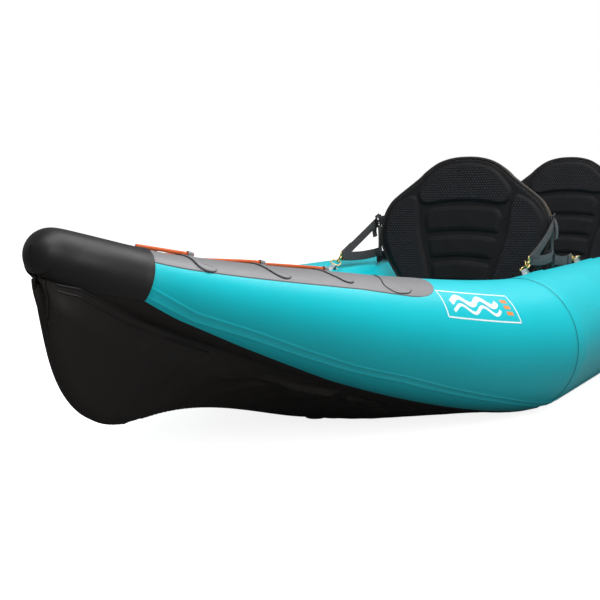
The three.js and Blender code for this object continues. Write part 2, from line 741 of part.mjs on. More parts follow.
const tube = portTube();
add("port_tube", tube, tealPvc());
add("starboard_tube", mirroredY(tube), tealPvc());
const skin = cut(bottomSkin(), turned([[0, -30], [19, -30], [19, 60], [0, 60]], 12)
  .translate(drainX, 0, keelPoint(drainX).z));
add("bottom_skin", skin, blackTarpaulin());
add("inflatable_floor", inflatableFloor(), floorPvc());

const ends = [["bow", (g) => g], ["stern", mirroredX]];
for (const [end, turn] of ends) {
  add(`${end}_keel_panel`, keelPanel(end === "bow" ? 1 : -1), blackRubber());
  add(`${end}_nose_cover`, turn(noseCover()), blackRubber());
  add(`${end}_bungee`, turn(bungee()), orangeCord());
  add(`${end}_carry_toggle`, turn(carryToggle()), blackPlastic());
  const strip = crestStrip();
  const [port, starboard] = end === "bow"
    ? [strip, mirroredY(strip)]
    : [mirroredX(mirroredY(strip)), mirroredX(strip)];
  add(`${end}_crest_strip_port`, port, greyPvc());
  add(`${end}_crest_strip_starboard`, starboard, greyPvc());
}

for (const seat of seats) {
  const group = new THREE.Group();
  group.position.set(seat.x, 0, seat.rise);
  kayak.add(group);

  const thickness = cushionThickness + seat.rise;
  const cushion = add(`${seat.name}_cushion`, seatCushion(thickness), blackFoam(), group);
  cushion.position.set(hinge.x + 22, 0, floorTop + gap - seat.rise);

  const back = new THREE.Group();
  back.position.set(hinge.x, 0, hinge.z);
  back.rotation.y = -rad(backLean);
  group.add(back);
  add(`${seat.name}_back_pad`, backPanel(padFront, backThickness, 0), blackFoam(), back);
  const shell = backPanel(padFront - backThickness - gap, shellThickness, 12);
  add(`${seat.name}_back_shell`, shell, blackPlastic(), back);

  const clip = buckle();
  add(`${seat.name}_buckle_port`, clip, blackPlastic(), group);
  add(`${seat.name}_buckle_starboard`, mirroredY(clip), blackPlastic(), group);

  const rigs = [["front", frontAnchor, [upperBuckle, lowerLoop]], ["rear", rearAnchor, [lowerBuckle]]];
  for (const [where, anchor, places] of rigs) {
    const tops = places.map((place) => vec(seat.x + place.x, strapTopY, place.z + seat.rise));
    const chain = strapChain(seat.x + anchor.x, anchor.angle, tops);
    for (const [side, turn] of [["port", (g) => g], ["starboard", mirroredY]]) {
      add(`${seat.name}_${where}_strap_${side}`, turn(chain.strap), webbing());
      add(`${seat.name}_${where}_hook_${side}`, turn(chain.hook), brass());
      add(`${seat.name}_${where}_anchor_${side}`, turn(chain.anchor), greyPvc());
    }
  }
}

for (const valve of valves) {
  const group = new THREE.Group();
  kayak.add(group);
  if (valve.side) seatOnTube(group, valve.x, valve.side, valve.angle);
  else group.position.set(valve.x, 0, floorTop + gap);
  add(`${valve.name}_body`, valveBody(), greyPlastic(), group);
  add(`${valve.name}_plunger`, valvePlunger(), greyPlastic(), group);
  add(`${valve.name}_cap`, valveCap(), greyPlastic(), group);
}

const plug = add("drain_plug", drainPlug(), blackPlastic());
plug.position.set(drainX, 0, keelPoint(drainX).z);

export default kayak;
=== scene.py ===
import json
import math

import bmesh
import bpy
import numpy as np
from mathutils import Matrix, Vector


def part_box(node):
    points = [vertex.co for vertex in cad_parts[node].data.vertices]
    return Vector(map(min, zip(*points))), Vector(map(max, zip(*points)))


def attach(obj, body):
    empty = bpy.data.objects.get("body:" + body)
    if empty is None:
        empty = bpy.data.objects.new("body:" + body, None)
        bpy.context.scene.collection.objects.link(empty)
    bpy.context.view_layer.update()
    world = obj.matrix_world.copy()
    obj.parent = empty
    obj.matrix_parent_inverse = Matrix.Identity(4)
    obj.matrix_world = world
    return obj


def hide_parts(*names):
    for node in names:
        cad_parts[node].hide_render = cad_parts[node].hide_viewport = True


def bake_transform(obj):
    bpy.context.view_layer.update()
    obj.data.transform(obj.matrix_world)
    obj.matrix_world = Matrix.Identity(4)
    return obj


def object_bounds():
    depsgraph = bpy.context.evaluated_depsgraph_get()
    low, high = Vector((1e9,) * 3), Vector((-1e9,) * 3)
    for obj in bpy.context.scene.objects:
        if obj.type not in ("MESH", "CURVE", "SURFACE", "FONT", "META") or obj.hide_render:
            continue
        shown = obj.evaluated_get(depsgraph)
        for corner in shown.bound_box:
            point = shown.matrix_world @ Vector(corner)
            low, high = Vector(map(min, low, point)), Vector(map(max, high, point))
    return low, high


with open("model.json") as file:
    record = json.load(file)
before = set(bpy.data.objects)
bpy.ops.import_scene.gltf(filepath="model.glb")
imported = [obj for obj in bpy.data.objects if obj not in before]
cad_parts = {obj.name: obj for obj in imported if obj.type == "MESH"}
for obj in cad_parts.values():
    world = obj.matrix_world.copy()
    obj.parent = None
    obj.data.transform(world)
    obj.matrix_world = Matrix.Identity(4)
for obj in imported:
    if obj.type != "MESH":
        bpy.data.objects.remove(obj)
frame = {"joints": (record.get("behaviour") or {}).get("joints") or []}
cad_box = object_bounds()

# The visible surfaces of a two-person inflatable kayak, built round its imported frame.
# Metres; +X points to the bow, +Y to port and +Z up; the origin is on the ground under the hull's middle.

# ------------------------------------------------------------------ driving dimensions

# Side tubes: straight amidships, then tapering, closing in and rising towards each nose.
TUBE_RADIUS = 0.145
TUBE_OFFSET = 0.335
TUBE_HEIGHT = 0.1485
RING_X = 0.800            # seam ring where the taper starts
TIP_X = 1.886             # where the taper would end
TIP_RADIUS = 0.036
TIP_OFFSET = 0.038
TIP_HEIGHT = 0.400
NARROWING, RISING, THINNING = 1.08, 1.42, 1.28
CLOSING, CLOSING_POWER = 0.0467, 8   # how much further the tubes close in at the very nose
NOSE_START = 1.700        # forward of this the tube's sections turn square to the hull
END_X = 1.872             # where the rounded end starts, the tubes there being one nose
TIP_LIFT, TIP_LIFT_POWER = 0.009, 14     # extra rise of the very nose
CREST_PRESS = [(1.20, 0.0), (1.45, 0.0025), (1.60, 0.0060), (1.72, 0.0080), (1.78, 0.0060), (1.85, 0.0)]
MIDDLE_GAP = 0.0004       # from the middle plane to each tube where they are pressed flat

# Keel line: flat amidships, then a rocker, a rounded forefoot and an upright stem.
KEEL_LOW = 0.003
ROCKER_START, ROCKER_END, ROCKER_HEIGHT = 0.980, 1.660, 0.125
FOREFOOT_X, STEM_X, STEM_TOP = 1.690, 1.886, 0.360
FOREFOOT_POWER = 2.6
KEEL_EDGE = 0.011         # half thickness of the soft edge along keel and stem

# Skin: glued edge and the line where it leaves the tube, as (x, angle) pairs.
# Angles go round the tube's section from its outermost side, downwards negative.
SKIN_EDGE = [(0.80, -72), (1.20, -84), (1.36, -84), (1.45, -75), (1.59, -63), (1.70, -50), (1.766, -35), (1.90, -15)]
SKIN_CREASE = [(0.80, -90), (1.30, -93), (1.65, -98), (1.745, -80), (1.80, -63), (1.845, -55), (1.872, -72),
               (1.89, -90)]
SKIN_PROUD = 0.003
SAG = [(0.80, 0.0), (0.95, 0.012), (1.10, 0.014), (1.30, 0.004), (1.40, 0.0)]   # the floor presses the wall down
SKIN_THICKNESS = 0.0012
PANEL_TOP_X, PANEL_FOOT_X = 1.585, 1.725   # aft seam of the keel panel, at its top and on the keel
SEAM_TAPE = [(0.00, -60), (0.81, -57), (0.98, -50), (1.13, -47), (1.26, -44), (1.376, -46), (1.485, -43),
             (1.59, -38), (1.68, -37), (1.766, -18)]

# Nose cover.
COVER_X = 1.762
COVER_EDGE = 0.331        # height of its lower edge at its aft rim
COVER_SLOPE = 12          # degrees that the lower edge rises forwards
COVER_PROUD = 0.0035
UNDER_COVER = 0.005       # how much thinner the tube is where the cover hides it
COVER_WRAP = 1.850        # from here to END_X it closes under the nose
NOSE_HALF, NOSE_LENGTH = 0.112, 0.151      # its half width at its rim, and its length
NOSE_POWERS, NOSE_STRETCH = (1.15, 0.55), 1.32
NOSE_SMOOTHING = 30       # passes that round the step from two tubes to one nose

# Crest strips: a rounded tongue, then half widths in degrees.
STRIP_MIDDLE = 88
STRIP_END = 1.1755
TONGUE_LENGTH, TONGUE_POWER = 0.10, 2.5
STRIP_HALF = [(1.27, 45), (1.385, 43), (1.475, 45), (1.565, 48), (1.70, 54), (1.78, 55)]
STRIP_THICKNESS = 0.0012
LOOPS = [(1.690, 82), (1.560, 82), (1.425, 82)]       # x and angle of the bungee loops
LOOP_TAILS = [(-0.020, 42), (-0.025, 51), (-0.025, 57)]
STRIP_FOLD = [(1.295, 91), (1.312, 70), (1.322, 55), (1.305, 46), (1.275, 47), (1.258, 53)]
BUNGEE_RADIUS = 0.003
BUNGEE_BEND = 0.012       # how far from a loop the cord starts to turn
BUNGEE_LIFT = 0.0056      # cord's centre above the tube's wall at the loops

# Floor.
FLOOR_END, FLOOR_HALF, FLOOR_THICKNESS = 1.150, 0.212, 0.058
FLOOR_RIBS = 8

# Seats.
HINGES = {j["child"]: Vector(j["pos_m"]) for j in frame["joints"] if j["child"].endswith("seat_back")}
SEATS = ["front_seat", "rear_seat"]
BACK_LEAN = math.radians(8)
PAD_FRONT, PAD_BACK = 0.012, -0.016
BACK_OUTLINE = [(0.136, 0.012), (0.150, 0.030), (0.168, 0.080), (0.196, 0.122), (0.226, 0.165), (0.247, 0.208),
                (0.252, 0.243), (0.243, 0.292), (0.226, 0.325), (0.204, 0.347), (0.141, 0.395), (0.118, 0.416),
                (0.082, 0.440), (0.042, 0.452), (0.0, 0.455)]
STRAP_WIDTH, STRAP_THICKNESS = 0.025, 0.0022
FRONT_ANCHOR, REAR_ANCHOR, ANCHOR_ANGLE = 0.555, 0.105, 116
UPPER_BUCKLE, LOWER_BUCKLE, LOWER_LOOP = (0.298, 0.402), (0.296, 0.300), (0.318, 0.310)
STRAP_SIDE = 0.261        # y of the straps' upper ends

# Fittings.
TOGGLE_PIN = next(Vector(j["pos_m"]) for j in frame["joints"] if j["child"] == "bow_toggle")
TOGGLE_REACH = 0.076

MIRROR = Matrix.Diagonal((1, -1, 1, 1))
HALF_TURN = Matrix.Rotation(math.pi, 4, "Z")

# ------------------------------------------------------------------ maths


def smooth(t):
    t = np.clip(t, 0.0, 1.0)
    return t * t * (3 - 2 * t)


def along(pairs, x):
    """Value at x of (place, value) pairs, alike fore and aft of the middle."""
    places, values = zip(*pairs)
    return np.interp(np.abs(x), places, values)


def unit(v):
    return v / np.maximum(np.linalg.norm(v, axis=-1, keepdims=True), 1e-12)


def between(*stretches):
    """Values over (start, end, step) stretches that follow on from each other."""
    parts = [np.linspace(a, b, max(2, round((b - a) / step) + 1))[:-1] for a, b, step in stretches]
    return np.concatenate(parts + [[stretches[-1][1]]])


def spline(points, count, closed=False):
    """Smooth curve through the points, as evenly spaced points."""
    p = np.asarray(points, float)
    if closed:
        p = np.vstack([p[-1:], p, p[:2]])
    else:
        p = np.vstack([2 * p[0] - p[1], p, 2 * p[-1] - p[-2]])
    t = np.linspace(0, 1, 24)[:-1, None]
    runs = []
    for a, b, c, d in zip(p, p[1:], p[2:], p[3:]):
        runs.append(0.5 * (2 * b + (c - a) * t + (2 * a - 5 * b + 4 * c - d) * t**2 + (3 * b - a - 3 * c + d) * t**3))
    fine = np.vstack(runs + [p[-2:-1]])
    return evenly_spaced(fine, count, closed)


def evenly_spaced(line, count, closed=False):
    run = np.concatenate([[0], np.cumsum(np.linalg.norm(np.diff(line, axis=0), axis=1))])
    at = np.linspace(0, run[-1], count + 1 if closed else count)
    made = np.stack([np.interp(at, run, line[:, k]) for k in range(line.shape[1])], 1)
    return made[:-1] if closed else made


def rounded(corners, radii, steps=6):
    """Closed outline with its corners turned into arcs of the given radii."""
    corners = np.asarray(corners, float)
    radii = np.broadcast_to(radii, len(corners))
    points = []
    for before, at, after, radius in zip(np.roll(corners, 1, 0), corners, np.roll(corners, -1, 0), radii):
        back, ahead = unit(before - at), unit(after - at)
        half = math.acos(np.clip(back @ ahead, -1, 1)) / 2
        reach = radius / math.tan(half)
        centre = at + unit(back + ahead) * radius / math.sin(half)
        first, last = at + back * reach - centre, at + ahead * reach - centre
        for share in np.linspace(0, 1, steps):
            turn = unit(first * (1 - share) + last * share)
            points.append(centre + turn * radius)
    return np.array(points)


def circle(radius, sides=16):
    turn = np.linspace(0, 2 * math.pi, sides, endpoint=False)
    return radius * np.stack([np.cos(turn), np.sin(turn)], 1)


def rectangle(width, height, radius, steps=4):
    w, h = width / 2, height / 2
    return rounded([(-w, -h), (w, -h), (w, h), (-w, h)], radius, steps)


def inset(outline, amount):
    """Anticlockwise outline moved inwards."""
    ahead = unit(np.roll(outline, -1, 0) - np.roll(outline, 1, 0))
    return outline + amount * np.stack([-ahead[:, 1], ahead[:, 0]], 1)


def inside_distance(points, outline):
    """Distance from each point to the outline, positive inside, and the nearest place on it."""
    best = np.full(len(points), 1e9)
    nearest = points.copy()
    crossings = np.zeros(len(points), int)
    for a, b in zip(outline, np.roll(outline, -1, 0)):
        run = b - a
        share = np.clip(((points - a) @ run) / max(run @ run, 1e-18), 0, 1)
        foot = a + share[:, None] * run
        gap = np.linalg.norm(points - foot, axis=1)
        closer = gap < best
        best[closer], nearest[closer] = gap[closer], foot[closer]
        spans = (a[1] > points[:, 1]) != (b[1] > points[:, 1])
        meets = a[0] + (points[:, 1] - a[1]) * run[0] / (run[1] if abs(run[1]) > 1e-12 else 1e-12)
        crossings += spans & (points[:, 0] < meets)
    return np.where(crossings % 2 == 1, best, -best), nearest


# ------------------------------------------------------------------ forms


class Form:
    """Points with quads and triangles, and a texture place in metres for each face corner."""

    def __init__(self, points, quads, quad_uv, tris=None, tri_uv=None):
        self.points = np.asarray(points, float).reshape(-1, 3)
        self.quads = np.asarray(quads, int).reshape(-1, 4)
        self.quad_uv = np.asarray(quad_uv, float).reshape(-1, 4, 2)
        self.tris = np.zeros((0, 3), int) if tris is None else np.asarray(tris, int)
        self.tri_uv = np.zeros((0, 3, 2)) if tri_uv is None else np.asarray(tri_uv, float)

    def flipped(self):
        return Form(self.points, self.quads[:, ::-1], self.quad_uv[:, ::-1], self.tris[:, ::-1], self.tri_uv[:, ::-1])

    def moved(self, matrix):
        m = np.array(matrix, float)
        made = Form(self.points @ m[:3, :3].T + m[:3, 3], self.quads, self.quad_uv, self.tris, self.tri_uv)
        return made.flipped() if np.linalg.det(m[:3, :3]) < 0 else made

    def outward(self):
        p, t = self.points, np.vstack([self.quads[:, [0, 1, 2]], self.quads[:, [0, 2, 3]], self.tris])
        volume = np.einsum("ij,ij->i", p[t[:, 0]], np.cross(p[t[:, 1]], p[t[:, 2]])).sum()
        return self.flipped() if volume < 0 else self


def together(*forms):
    starts = np.cumsum([0] + [len(f.points) for f in forms])
    return Form(
        np.vstack([f.points for f in forms]),
        np.vstack([f.quads + s for f, s in zip(forms, starts)]),
        np.vstack([f.quad_uv for f in forms]),
        np.vstack([f.tris + s for f, s in zip(forms, starts)]),
        np.vstack([f.tri_uv for f in forms]),
    )


def grid(points, wrap=False, uv=None):
    """Sheet of quads over rows of points; wrap closes each row on itself."""
    points = np.asarray(points, float)
    rows, columns = points.shape[:2]
    if uv is None:
        loop = np.concatenate([points, points[:, :1]], 1) if wrap else points
        across = np.linalg.norm(np.diff(loop, axis=1), axis=2).mean(0)
        down = np.linalg.norm(np.diff(points, axis=0), axis=2).mean(1)
        uv = np.stack(np.meshgrid(np.cumsum([0, *across]), np.cumsum([0, *down])), -1)
    i, j = np.meshgrid(np.arange(rows - 1), np.arange(columns if wrap else columns - 1), indexing="ij")
    after = (j + 1) % columns
    quads = np.stack([i * columns + j, i * columns + after, (i + 1) * columns + after, (i + 1) * columns + j], -1)
    return Form(points, quads, np.stack([uv[i, j], uv[i, j + 1], uv[i + 1, j + 1], uv[i + 1, j]], -2))


def loft(rings):
    """Closed body through rings of points, its ends filled."""
    rings = np.asarray(rings, float)
    rows, count = rings.shape[:2]
    body = grid(rings, wrap=True)
    points = np.vstack([body.points, rings[0].mean(0), rings[-1].mean(0)])
    j = np.arange(count)
    after = (j + 1) % count
    low = np.stack([after, j, np.full(count, rows * count)], 1)
    high = np.stack([j, after, np.full(count, count + 1)], 1) + (rows - 1) * count
    tris = np.vstack([low, high])
    return Form(points, body.quads, body.quad_uv, tris, points[tris][..., :2]).outward()


def sheet(outer, inner):
    """Closed thin body between two grids of points."""
    rows, columns = outer.shape[:2]
    front, back = grid(outer), grid(inner).flipped()
    top = np.arange(columns)
    right = np.arange(1, rows) * columns + columns - 1
    bottom = (rows - 1) * columns + np.arange(columns - 2, -1, -1)
    left = np.arange(rows - 2, 0, -1) * columns
    rim = np.concatenate([top, right, bottom, left])
    after = np.roll(rim, -1)
    under = rows * columns
    walls = np.stack([after, rim, rim + under, after + under], 1)
    points = np.vstack([front.points, back.points])
    wall_uv = np.zeros((len(walls), 4, 2))
    made = Form(points, np.vstack([front.quads, back.quads + under, walls]),
                np.vstack([front.quad_uv, back.quad_uv, wall_uv]))
    return made.outward()


def facing(points):
    """Unit normals of a grid of points."""
    return unit(np.cross(np.gradient(points, axis=1), np.gradient(points, axis=0)))


def sweep(path, section, side=None, closed=False, sizes=1.0):
    """Body made by carrying a closed section along a path; side is where the section's first axis points."""
    path = np.asarray(path, float)
    ahead = unit(np.roll(path, -1, 0) - np.roll(path, 1, 0)) if closed else unit(np.gradient(path, axis=0))
    across = np.zeros_like(path)
    if side is not None:
        across[:] = side
    else:
        across[0] = (0.3, 0.2, 0.9)
        for k in range(1, len(path)):
            last = across[k - 1] - (across[k - 1] @ ahead[k - 1]) * ahead[k - 1]
            across[k] = unit(last)
    across = unit(across - np.sum(across * ahead, 1, keepdims=True) * ahead)
    other = np.cross(ahead, across)
    size = np.broadcast_to(sizes, len(path))[:, None, None]
    rings = path[:, None] + size * (section[:, :1] * across[:, None] + section[:, 1:] * other[:, None])
    if closed:
        return grid(np.concatenate([rings, rings[:1]]), wrap=True).outward()
    return loft(rings)


def lathe(profile, segments=48):
    """Turned body about +Z from (radius, height) pairs."""
    turn = np.linspace(0, 2 * math.pi, segments, endpoint=False)
    rings = [[(r * math.cos(a), r * math.sin(a), z) for a in turn] for r, z in profile]
    return grid(np.array(rings), wrap=True).outward()


def slab(outline, thickness, edge, steps=5):
    """Flat body with soft edges: an anticlockwise outline in XY, centred on z = 0."""
    rings = []
    for side in (-1, 1):
        for share in np.linspace(0, 1, steps) if side < 0 else np.linspace(1, 0, steps):
            turn = share * math.pi / 2
            ring = inset(outline, edge * (1 - math.sin(turn)))
            height = side * (thickness / 2 - edge + edge * math.cos(turn))
            rings.append(np.column_stack([ring, np.full(len(ring), height)]))
    return loft(rings)


def basis(origin, x_axis, y_axis, z_axis):
    made = Matrix.Identity(4)
    for k, axis in enumerate((x_axis, y_axis, z_axis, origin)):
        made.col[k][:3] = [float(c) for c in axis]
    return made


def stitches(path, lift, pitch=0.0055, length=0.0036, radius=0.00045):
    """Row of short raised threads along a path, each lifted off it in the given direction."""
    run = np.linalg.norm(np.diff(path, axis=0), axis=1).sum()
    count = max(2, int(run / pitch))
    places = evenly_spaced(np.asarray(path, float), count * 3)
    lift = np.broadcast_to(lift, (3,))
    made = []
    for k in range(count):
        a, b, c = places[3 * k: 3 * k + 3]
        ahead = unit(c - a) * length / 2
        arch = np.array([b - ahead, b - ahead * 0.6 + lift, b + ahead * 0.6 + lift, b + ahead])
        made.append(sweep(arch, circle(radius, 5)))
    return together(*made)


# ------------------------------------------------------------------ materials


def srgb(*levels):
    """Linear colour from levels out of 255."""
    return tuple(((c / 255 + 0.055) / 1.055) ** 2.4 if c > 10 else c / 255 / 12.92 for c in levels) + (1.0,)


def shade(colour, factor):
    return tuple(min(1.0, c * factor) for c in colour[:3]) + (1.0,)


class Look:
    """One node material, built up from small calls."""

    def __init__(self, name):
        self.material = bpy.data.materials.new(name)
        self.material.use_nodes = True
        self.tree = self.material.node_tree
        self.tree.nodes.clear()
        self.surface = self.node("BsdfPrincipled")
        self.node("OutputMaterial", self.surface.outputs[0])
        coords = self.node("TexCoord")
        self.place, self.uv = coords.outputs["Object"], coords.outputs["UV"]
        self.normal = None

    def node(self, kind, *values, settings=None, **named):
        made = self.tree.nodes.new("ShaderNode" + kind)
        for key, value in (settings or {}).items():
            setattr(made, key, value)
        pairs = [(made.inputs[k], value) for k, value in enumerate(values) if value is not None]
        pairs += [(made.inputs[key.replace("_", " ")], value) for key, value in named.items()]
        for socket, value in pairs:
            if isinstance(value, bpy.types.NodeSocket):
                self.tree.links.new(value, socket)
            else:
                socket.default_value = value
        return made

    def set(self, **named):
        for key, value in named.items():
            socket = self.surface.inputs[key.replace("_", " ")]
            if isinstance(value, bpy.types.NodeSocket):
                self.tree.links.new(value, socket)
            else:
                socket.default_value = value

    def math(self, operation, *values):
        return self.node("Math", *values, settings={"operation": operation}).outputs[0]

    def vector(self, operation, *values, output=0):
        return self.node("VectorMath", *values, settings={"operation": operation}).outputs[output]

    def noise(self, size, detail=3.0, stretch=(1, 1, 1), roughness=0.55, source=None):
        place = self.vector("MULTIPLY", source or self.place, tuple(s / size for s in stretch))
        return self.node("TexNoise", Vector=place, Scale=1.0, Detail=detail, Roughness=roughness).outputs[0]

    def ramp(self, value, start, end, low=0.0, high=1.0):
        return self.node("MapRange", value, start, end, low, high).outputs[0]

    def mix(self, amount, first, second):
        made = self.node("Mix", amount, settings={"data_type": "RGBA"})
        for socket, value in ((made.inputs[6], first), (made.inputs[7], second)):
            if isinstance(value, bpy.types.NodeSocket):
                self.tree.links.new(value, socket)
            else:
                socket.default_value = value
        return made.outputs[2]

    def bump(self, height, depth):
        named = {"Height": height, "Distance": depth, "Strength": 1.0}
        if self.normal:
            named["Normal"] = self.normal
        self.normal = self.node("Bump", **named).outputs[0]
        self.set(Normal=self.normal)

    def waves(self, source, pitch_across, pitch_down):
        """Heights of crossing threads, from a place in metres."""
        parts = self.node("SeparateXYZ", source).outputs
        across = self.math("SINE", self.math("MULTIPLY", parts[0], 2 * math.pi / pitch_across))
        down = self.math("SINE", self.math("MULTIPLY", parts[1], 2 * math.pi / pitch_down))
        return self.math("MULTIPLY", across, down)


def coated(name, colour, rough, grain=0.0009, depth=0.00003, mottle=0.05, metal=0.0, coat=0.0, sheen=0.0,
           specular=0.5, scuffs=0.0, weave=None, weave_depth=0.00008):
    """Sheet, rubber or plastic: mottled colour, uneven gloss, a fine grain, light scuffs and a cloth pattern."""
    look = Look(name)
    patches = look.noise(0.16, 4.0)
    base = look.mix(look.ramp(patches, 0.3, 0.7), shade(colour, 1 - mottle), shade(colour, 1 + mottle))
    gloss = look.ramp(look.noise(0.035, 4.0), 0.3, 0.7, rough - 0.04, rough + 0.05)
    if scuffs:
        streaks = look.ramp(look.noise(0.02, 5.0, stretch=(0.25, 1, 2)), 0.60, 0.80, 0.0, scuffs)
        worn = look.node("NewGeometry").outputs["Pointiness"]
        edges = look.ramp(worn, 0.53, 0.60, 0.0, scuffs)
        amount = look.math("MAXIMUM", streaks, edges)
        base = look.mix(amount, base, shade(colour, 3.0) if max(colour[:3]) < 0.1 else shade(colour, 1.35))
    look.set(Base_Color=base, Roughness=gloss, Metallic=metal, Coat_Weight=coat, Coat_Roughness=0.25)
    look.set(Sheen_Weight=sheen, Sheen_Roughness=0.4, Specular_IOR_Level=specular)
    look.bump(look.noise(grain, 2.0), depth)
    if weave:
        look.bump(look.waves(look.place if weave[0] == "solid" else look.uv, *weave[1:]), weave_depth)
    return look


TEAL = srgb(0, 188, 200)


def teal_pvc():
    """Coated fabric with a faint thread pattern and dusty lower sides."""
    look = coated("teal_pvc", TEAL, 0.40, mottle=0.03, specular=0.36, weave=("uv", 0.0011, 0.0011),
                  weave_depth=0.000012)
    height = look.node("SeparateXYZ", look.place).outputs[2]
    dust = look.math("MULTIPLY", look.ramp(height, 0.07, 0.0), look.ramp(look.noise(0.05, 6.0), 0.45, 0.75, 0.0, 0.35))
    base = look.surface.inputs["Base Color"].links[0].from_socket
    look.set(Base_Color=look.mix(dust, base, srgb(120, 140, 138)))
    return look.material


def seam_tape():
    look = coated("teal_seam_tape", shade(TEAL, 1.06), 0.33, mottle=0.03, weave=("uv", 0.0011, 0.0011),
                  weave_depth=0.00001)
    return look.material


# Dark teal for the beads in the seam rings' laps: painted shade of the lap's groove.
def painted_seam_shade():
    return coated("painted_seam_shade", shade(TEAL, 0.22), 0.5, mottle=0.08).material


def black_tarpaulin():
    look = coated("black_tarpaulin", srgb(27, 23, 20), 0.55, mottle=0.14, scuffs=0.03, specular=0.36,
                  weave=("uv", 0.0016, 0.0016), weave_depth=0.00005)
    look.bump(look.noise(0.018, 4.0, stretch=(0.6, 1, 1.2)), 0.0009)
    return look.material


def black_rubber():
    look = coated("black_rubber", srgb(22, 21, 23), 0.46, mottle=0.08, scuffs=0.05, specular=0.38, depth=0.00004)
    look.bump(look.noise(0.006, 3.0), 0.00008)
    return look.material


def panel_rubber():
    look = coated("panel_rubber", srgb(24, 20, 18), 0.50, mottle=0.08, scuffs=0.03, specular=0.32)
    look.bump(look.noise(0.05, 3.0), 0.0008)
    return look.material


def grey_pvc():
    look = coated("grey_pvc", srgb(118, 118, 121), 0.46, mottle=0.05, scuffs=0.06, depth=0.00005)
    look.bump(look.noise(0.004, 3.0), 0.00008)
    return look.material


# Near-black for the wider, lower bands under the loop leaves and for the strip's fold: painted shadow lines along their
# edges.
def painted_loop_shadow():
    return coated("painted_loop_shadow", srgb(38, 38, 41), 0.7, mottle=0.08).material


def pale_webbing():
    look = coated("pale_webbing", srgb(176, 182, 184), 0.75, mottle=0.05, sheen=0.3, weave=("uv", 0.0018, 0.0012))
    return look.material


def bungee_cord():
    """Braided sleeve: two sets of slanting threads, with dark flecks."""
    look = coated("bungee", srgb(242, 104, 38), 0.62, mottle=0.05, sheen=0.3)
    parts = look.node("SeparateXYZ", look.uv).outputs
    threads = []
    for lean in (1.0, -1.0):
        slant = look.math("ADD", parts[1], look.math("MULTIPLY", parts[0], lean))
        threads.append(look.math("SINE", look.math("MULTIPLY", slant, 2 * math.pi / 0.0032)))
    braid = look.math("MAXIMUM", *threads)
    base = look.mix(look.ramp(braid, 0.1, 0.7), srgb(176, 62, 16), srgb(250, 116, 46))
    look.set(Base_Color=base)
    look.bump(braid, 0.0003)
    return look.material


def webbing():
    """Woven strap: ribs along its length and fine cross threads."""
    look = coated("webbing", srgb(34, 34, 37), 0.72, mottle=0.10, sheen=0.16)
    parts = look.node("SeparateXYZ", look.uv).outputs
    ribs = look.math("ABSOLUTE", look.math("SINE", look.math("MULTIPLY", parts[0], math.pi / 0.0022)))
    cross = look.waves(look.uv, 0.0011, 0.0015)
    base = look.mix(look.ramp(ribs, 0.0, 0.8), srgb(16, 16, 18), srgb(40, 40, 44))
    look.set(Base_Color=base)
    look.bump(ribs, 0.00035)
    look.bump(cross, 0.00018)
    return look.material


def thread():
    return coated("thread", srgb(66, 66, 70), 0.6, mottle=0.1, sheen=0.3).material


def seat_foam():
    """Moulded foam with a knitted face; its raised panels carry rows of small hexagonal dots, their tops painted
    lighter as a highlight and the ground between them painted darker as shade.
    """
    look = coated("seat_foam", srgb(13, 12, 15), 0.74, mottle=0.10, sheen=0.04, specular=0.30,
                  weave=("uv", 0.0010, 0.0010), weave_depth=0.00005)
    pitch = 0.0078
    low, high = (-0.5, -math.sqrt(3) / 2, -1), (0.5, math.sqrt(3) / 2, 1)
    scaled = look.vector("MULTIPLY", look.uv, (1 / pitch, 1 / pitch, 0))
    rows = []
    for offset in ((0, 0, 0), (0.5, math.sqrt(3) / 2, 0)):
        cell = look.vector("WRAP", look.vector("ADD", scaled, offset), high, low)
        rows.append(look.vector("LENGTH", cell, output=1))
    centre = look.math("MINIMUM", *rows)
    dots = look.ramp(centre, 0.40, 0.26)
    where = look.node("Attribute", settings={"attribute_name": "dots"}).outputs["Fac"]
    dots = look.math("MULTIPLY", dots, where)
    base = look.surface.inputs["Base Color"].links[0].from_socket
    # Painted shade on the ground between the raised dots.
    shade_between_dots = look.math("MULTIPLY", look.ramp(centre, 0.36, 0.46), where)
    base = look.mix(look.math("MULTIPLY", shade_between_dots, 0.55), base, srgb(6, 6, 8))
    # Painted highlight on the raised dots' tops.
    look.set(Base_Color=look.mix(look.math("MULTIPLY", dots, 0.62), base, srgb(50, 50, 56)))
    look.bump(dots, 0.0011)
    return look.material


def seat_fabric():
    look = coated("seat_fabric", srgb(24, 24, 27), 0.8, mottle=0.1, sheen=0.25,
                  weave=("solid", 0.0022, 0.0022), weave_depth=0.00012)
    look.bump(look.noise(0.02, 3.0), 0.0006)
    return look.material


def seat_binding():
    look = coated("seat_binding", srgb(27, 24, 23), 0.66, mottle=0.12, sheen=0.35,
                  weave=("uv", 0.0016, 0.0012), weave_depth=0.0001)
    look.set(Sheen_Tint=srgb(196, 150, 100))
    return look.material


def brass():
    look = coated("brass", srgb(222, 190, 128), 0.27, metal=1.0, mottle=0.12, depth=0.00002)
    look.bump(look.noise(0.004, 3.0), 0.0001)
    return look.material


def black_plastic():
    return coated("black_plastic", srgb(30, 30, 32), 0.42, mottle=0.06, scuffs=0.12, depth=0.00005).material


def grey_plastic():
    return coated("grey_plastic", srgb(150, 153, 157), 0.45, mottle=0.05, scuffs=0.10, depth=0.00005).material


def floor_pvc():
    look = coated("floor_pvc", srgb(82, 84, 88), 0.60, mottle=0.06, scuffs=0.08,
                  weave=("uv", 0.0035, 0.0035), weave_depth=0.00025)
    return look.material


def white_ink():
    return coated("white_ink", srgb(232, 240, 240), 0.42, mottle=0.03, weave=("uv", 0.0011, 0.0011)).material


def orange_ink():
    return coated("orange_ink", srgb(232, 138, 60), 0.42, mottle=0.04, weave=("uv", 0.0011, 0.0011)).material


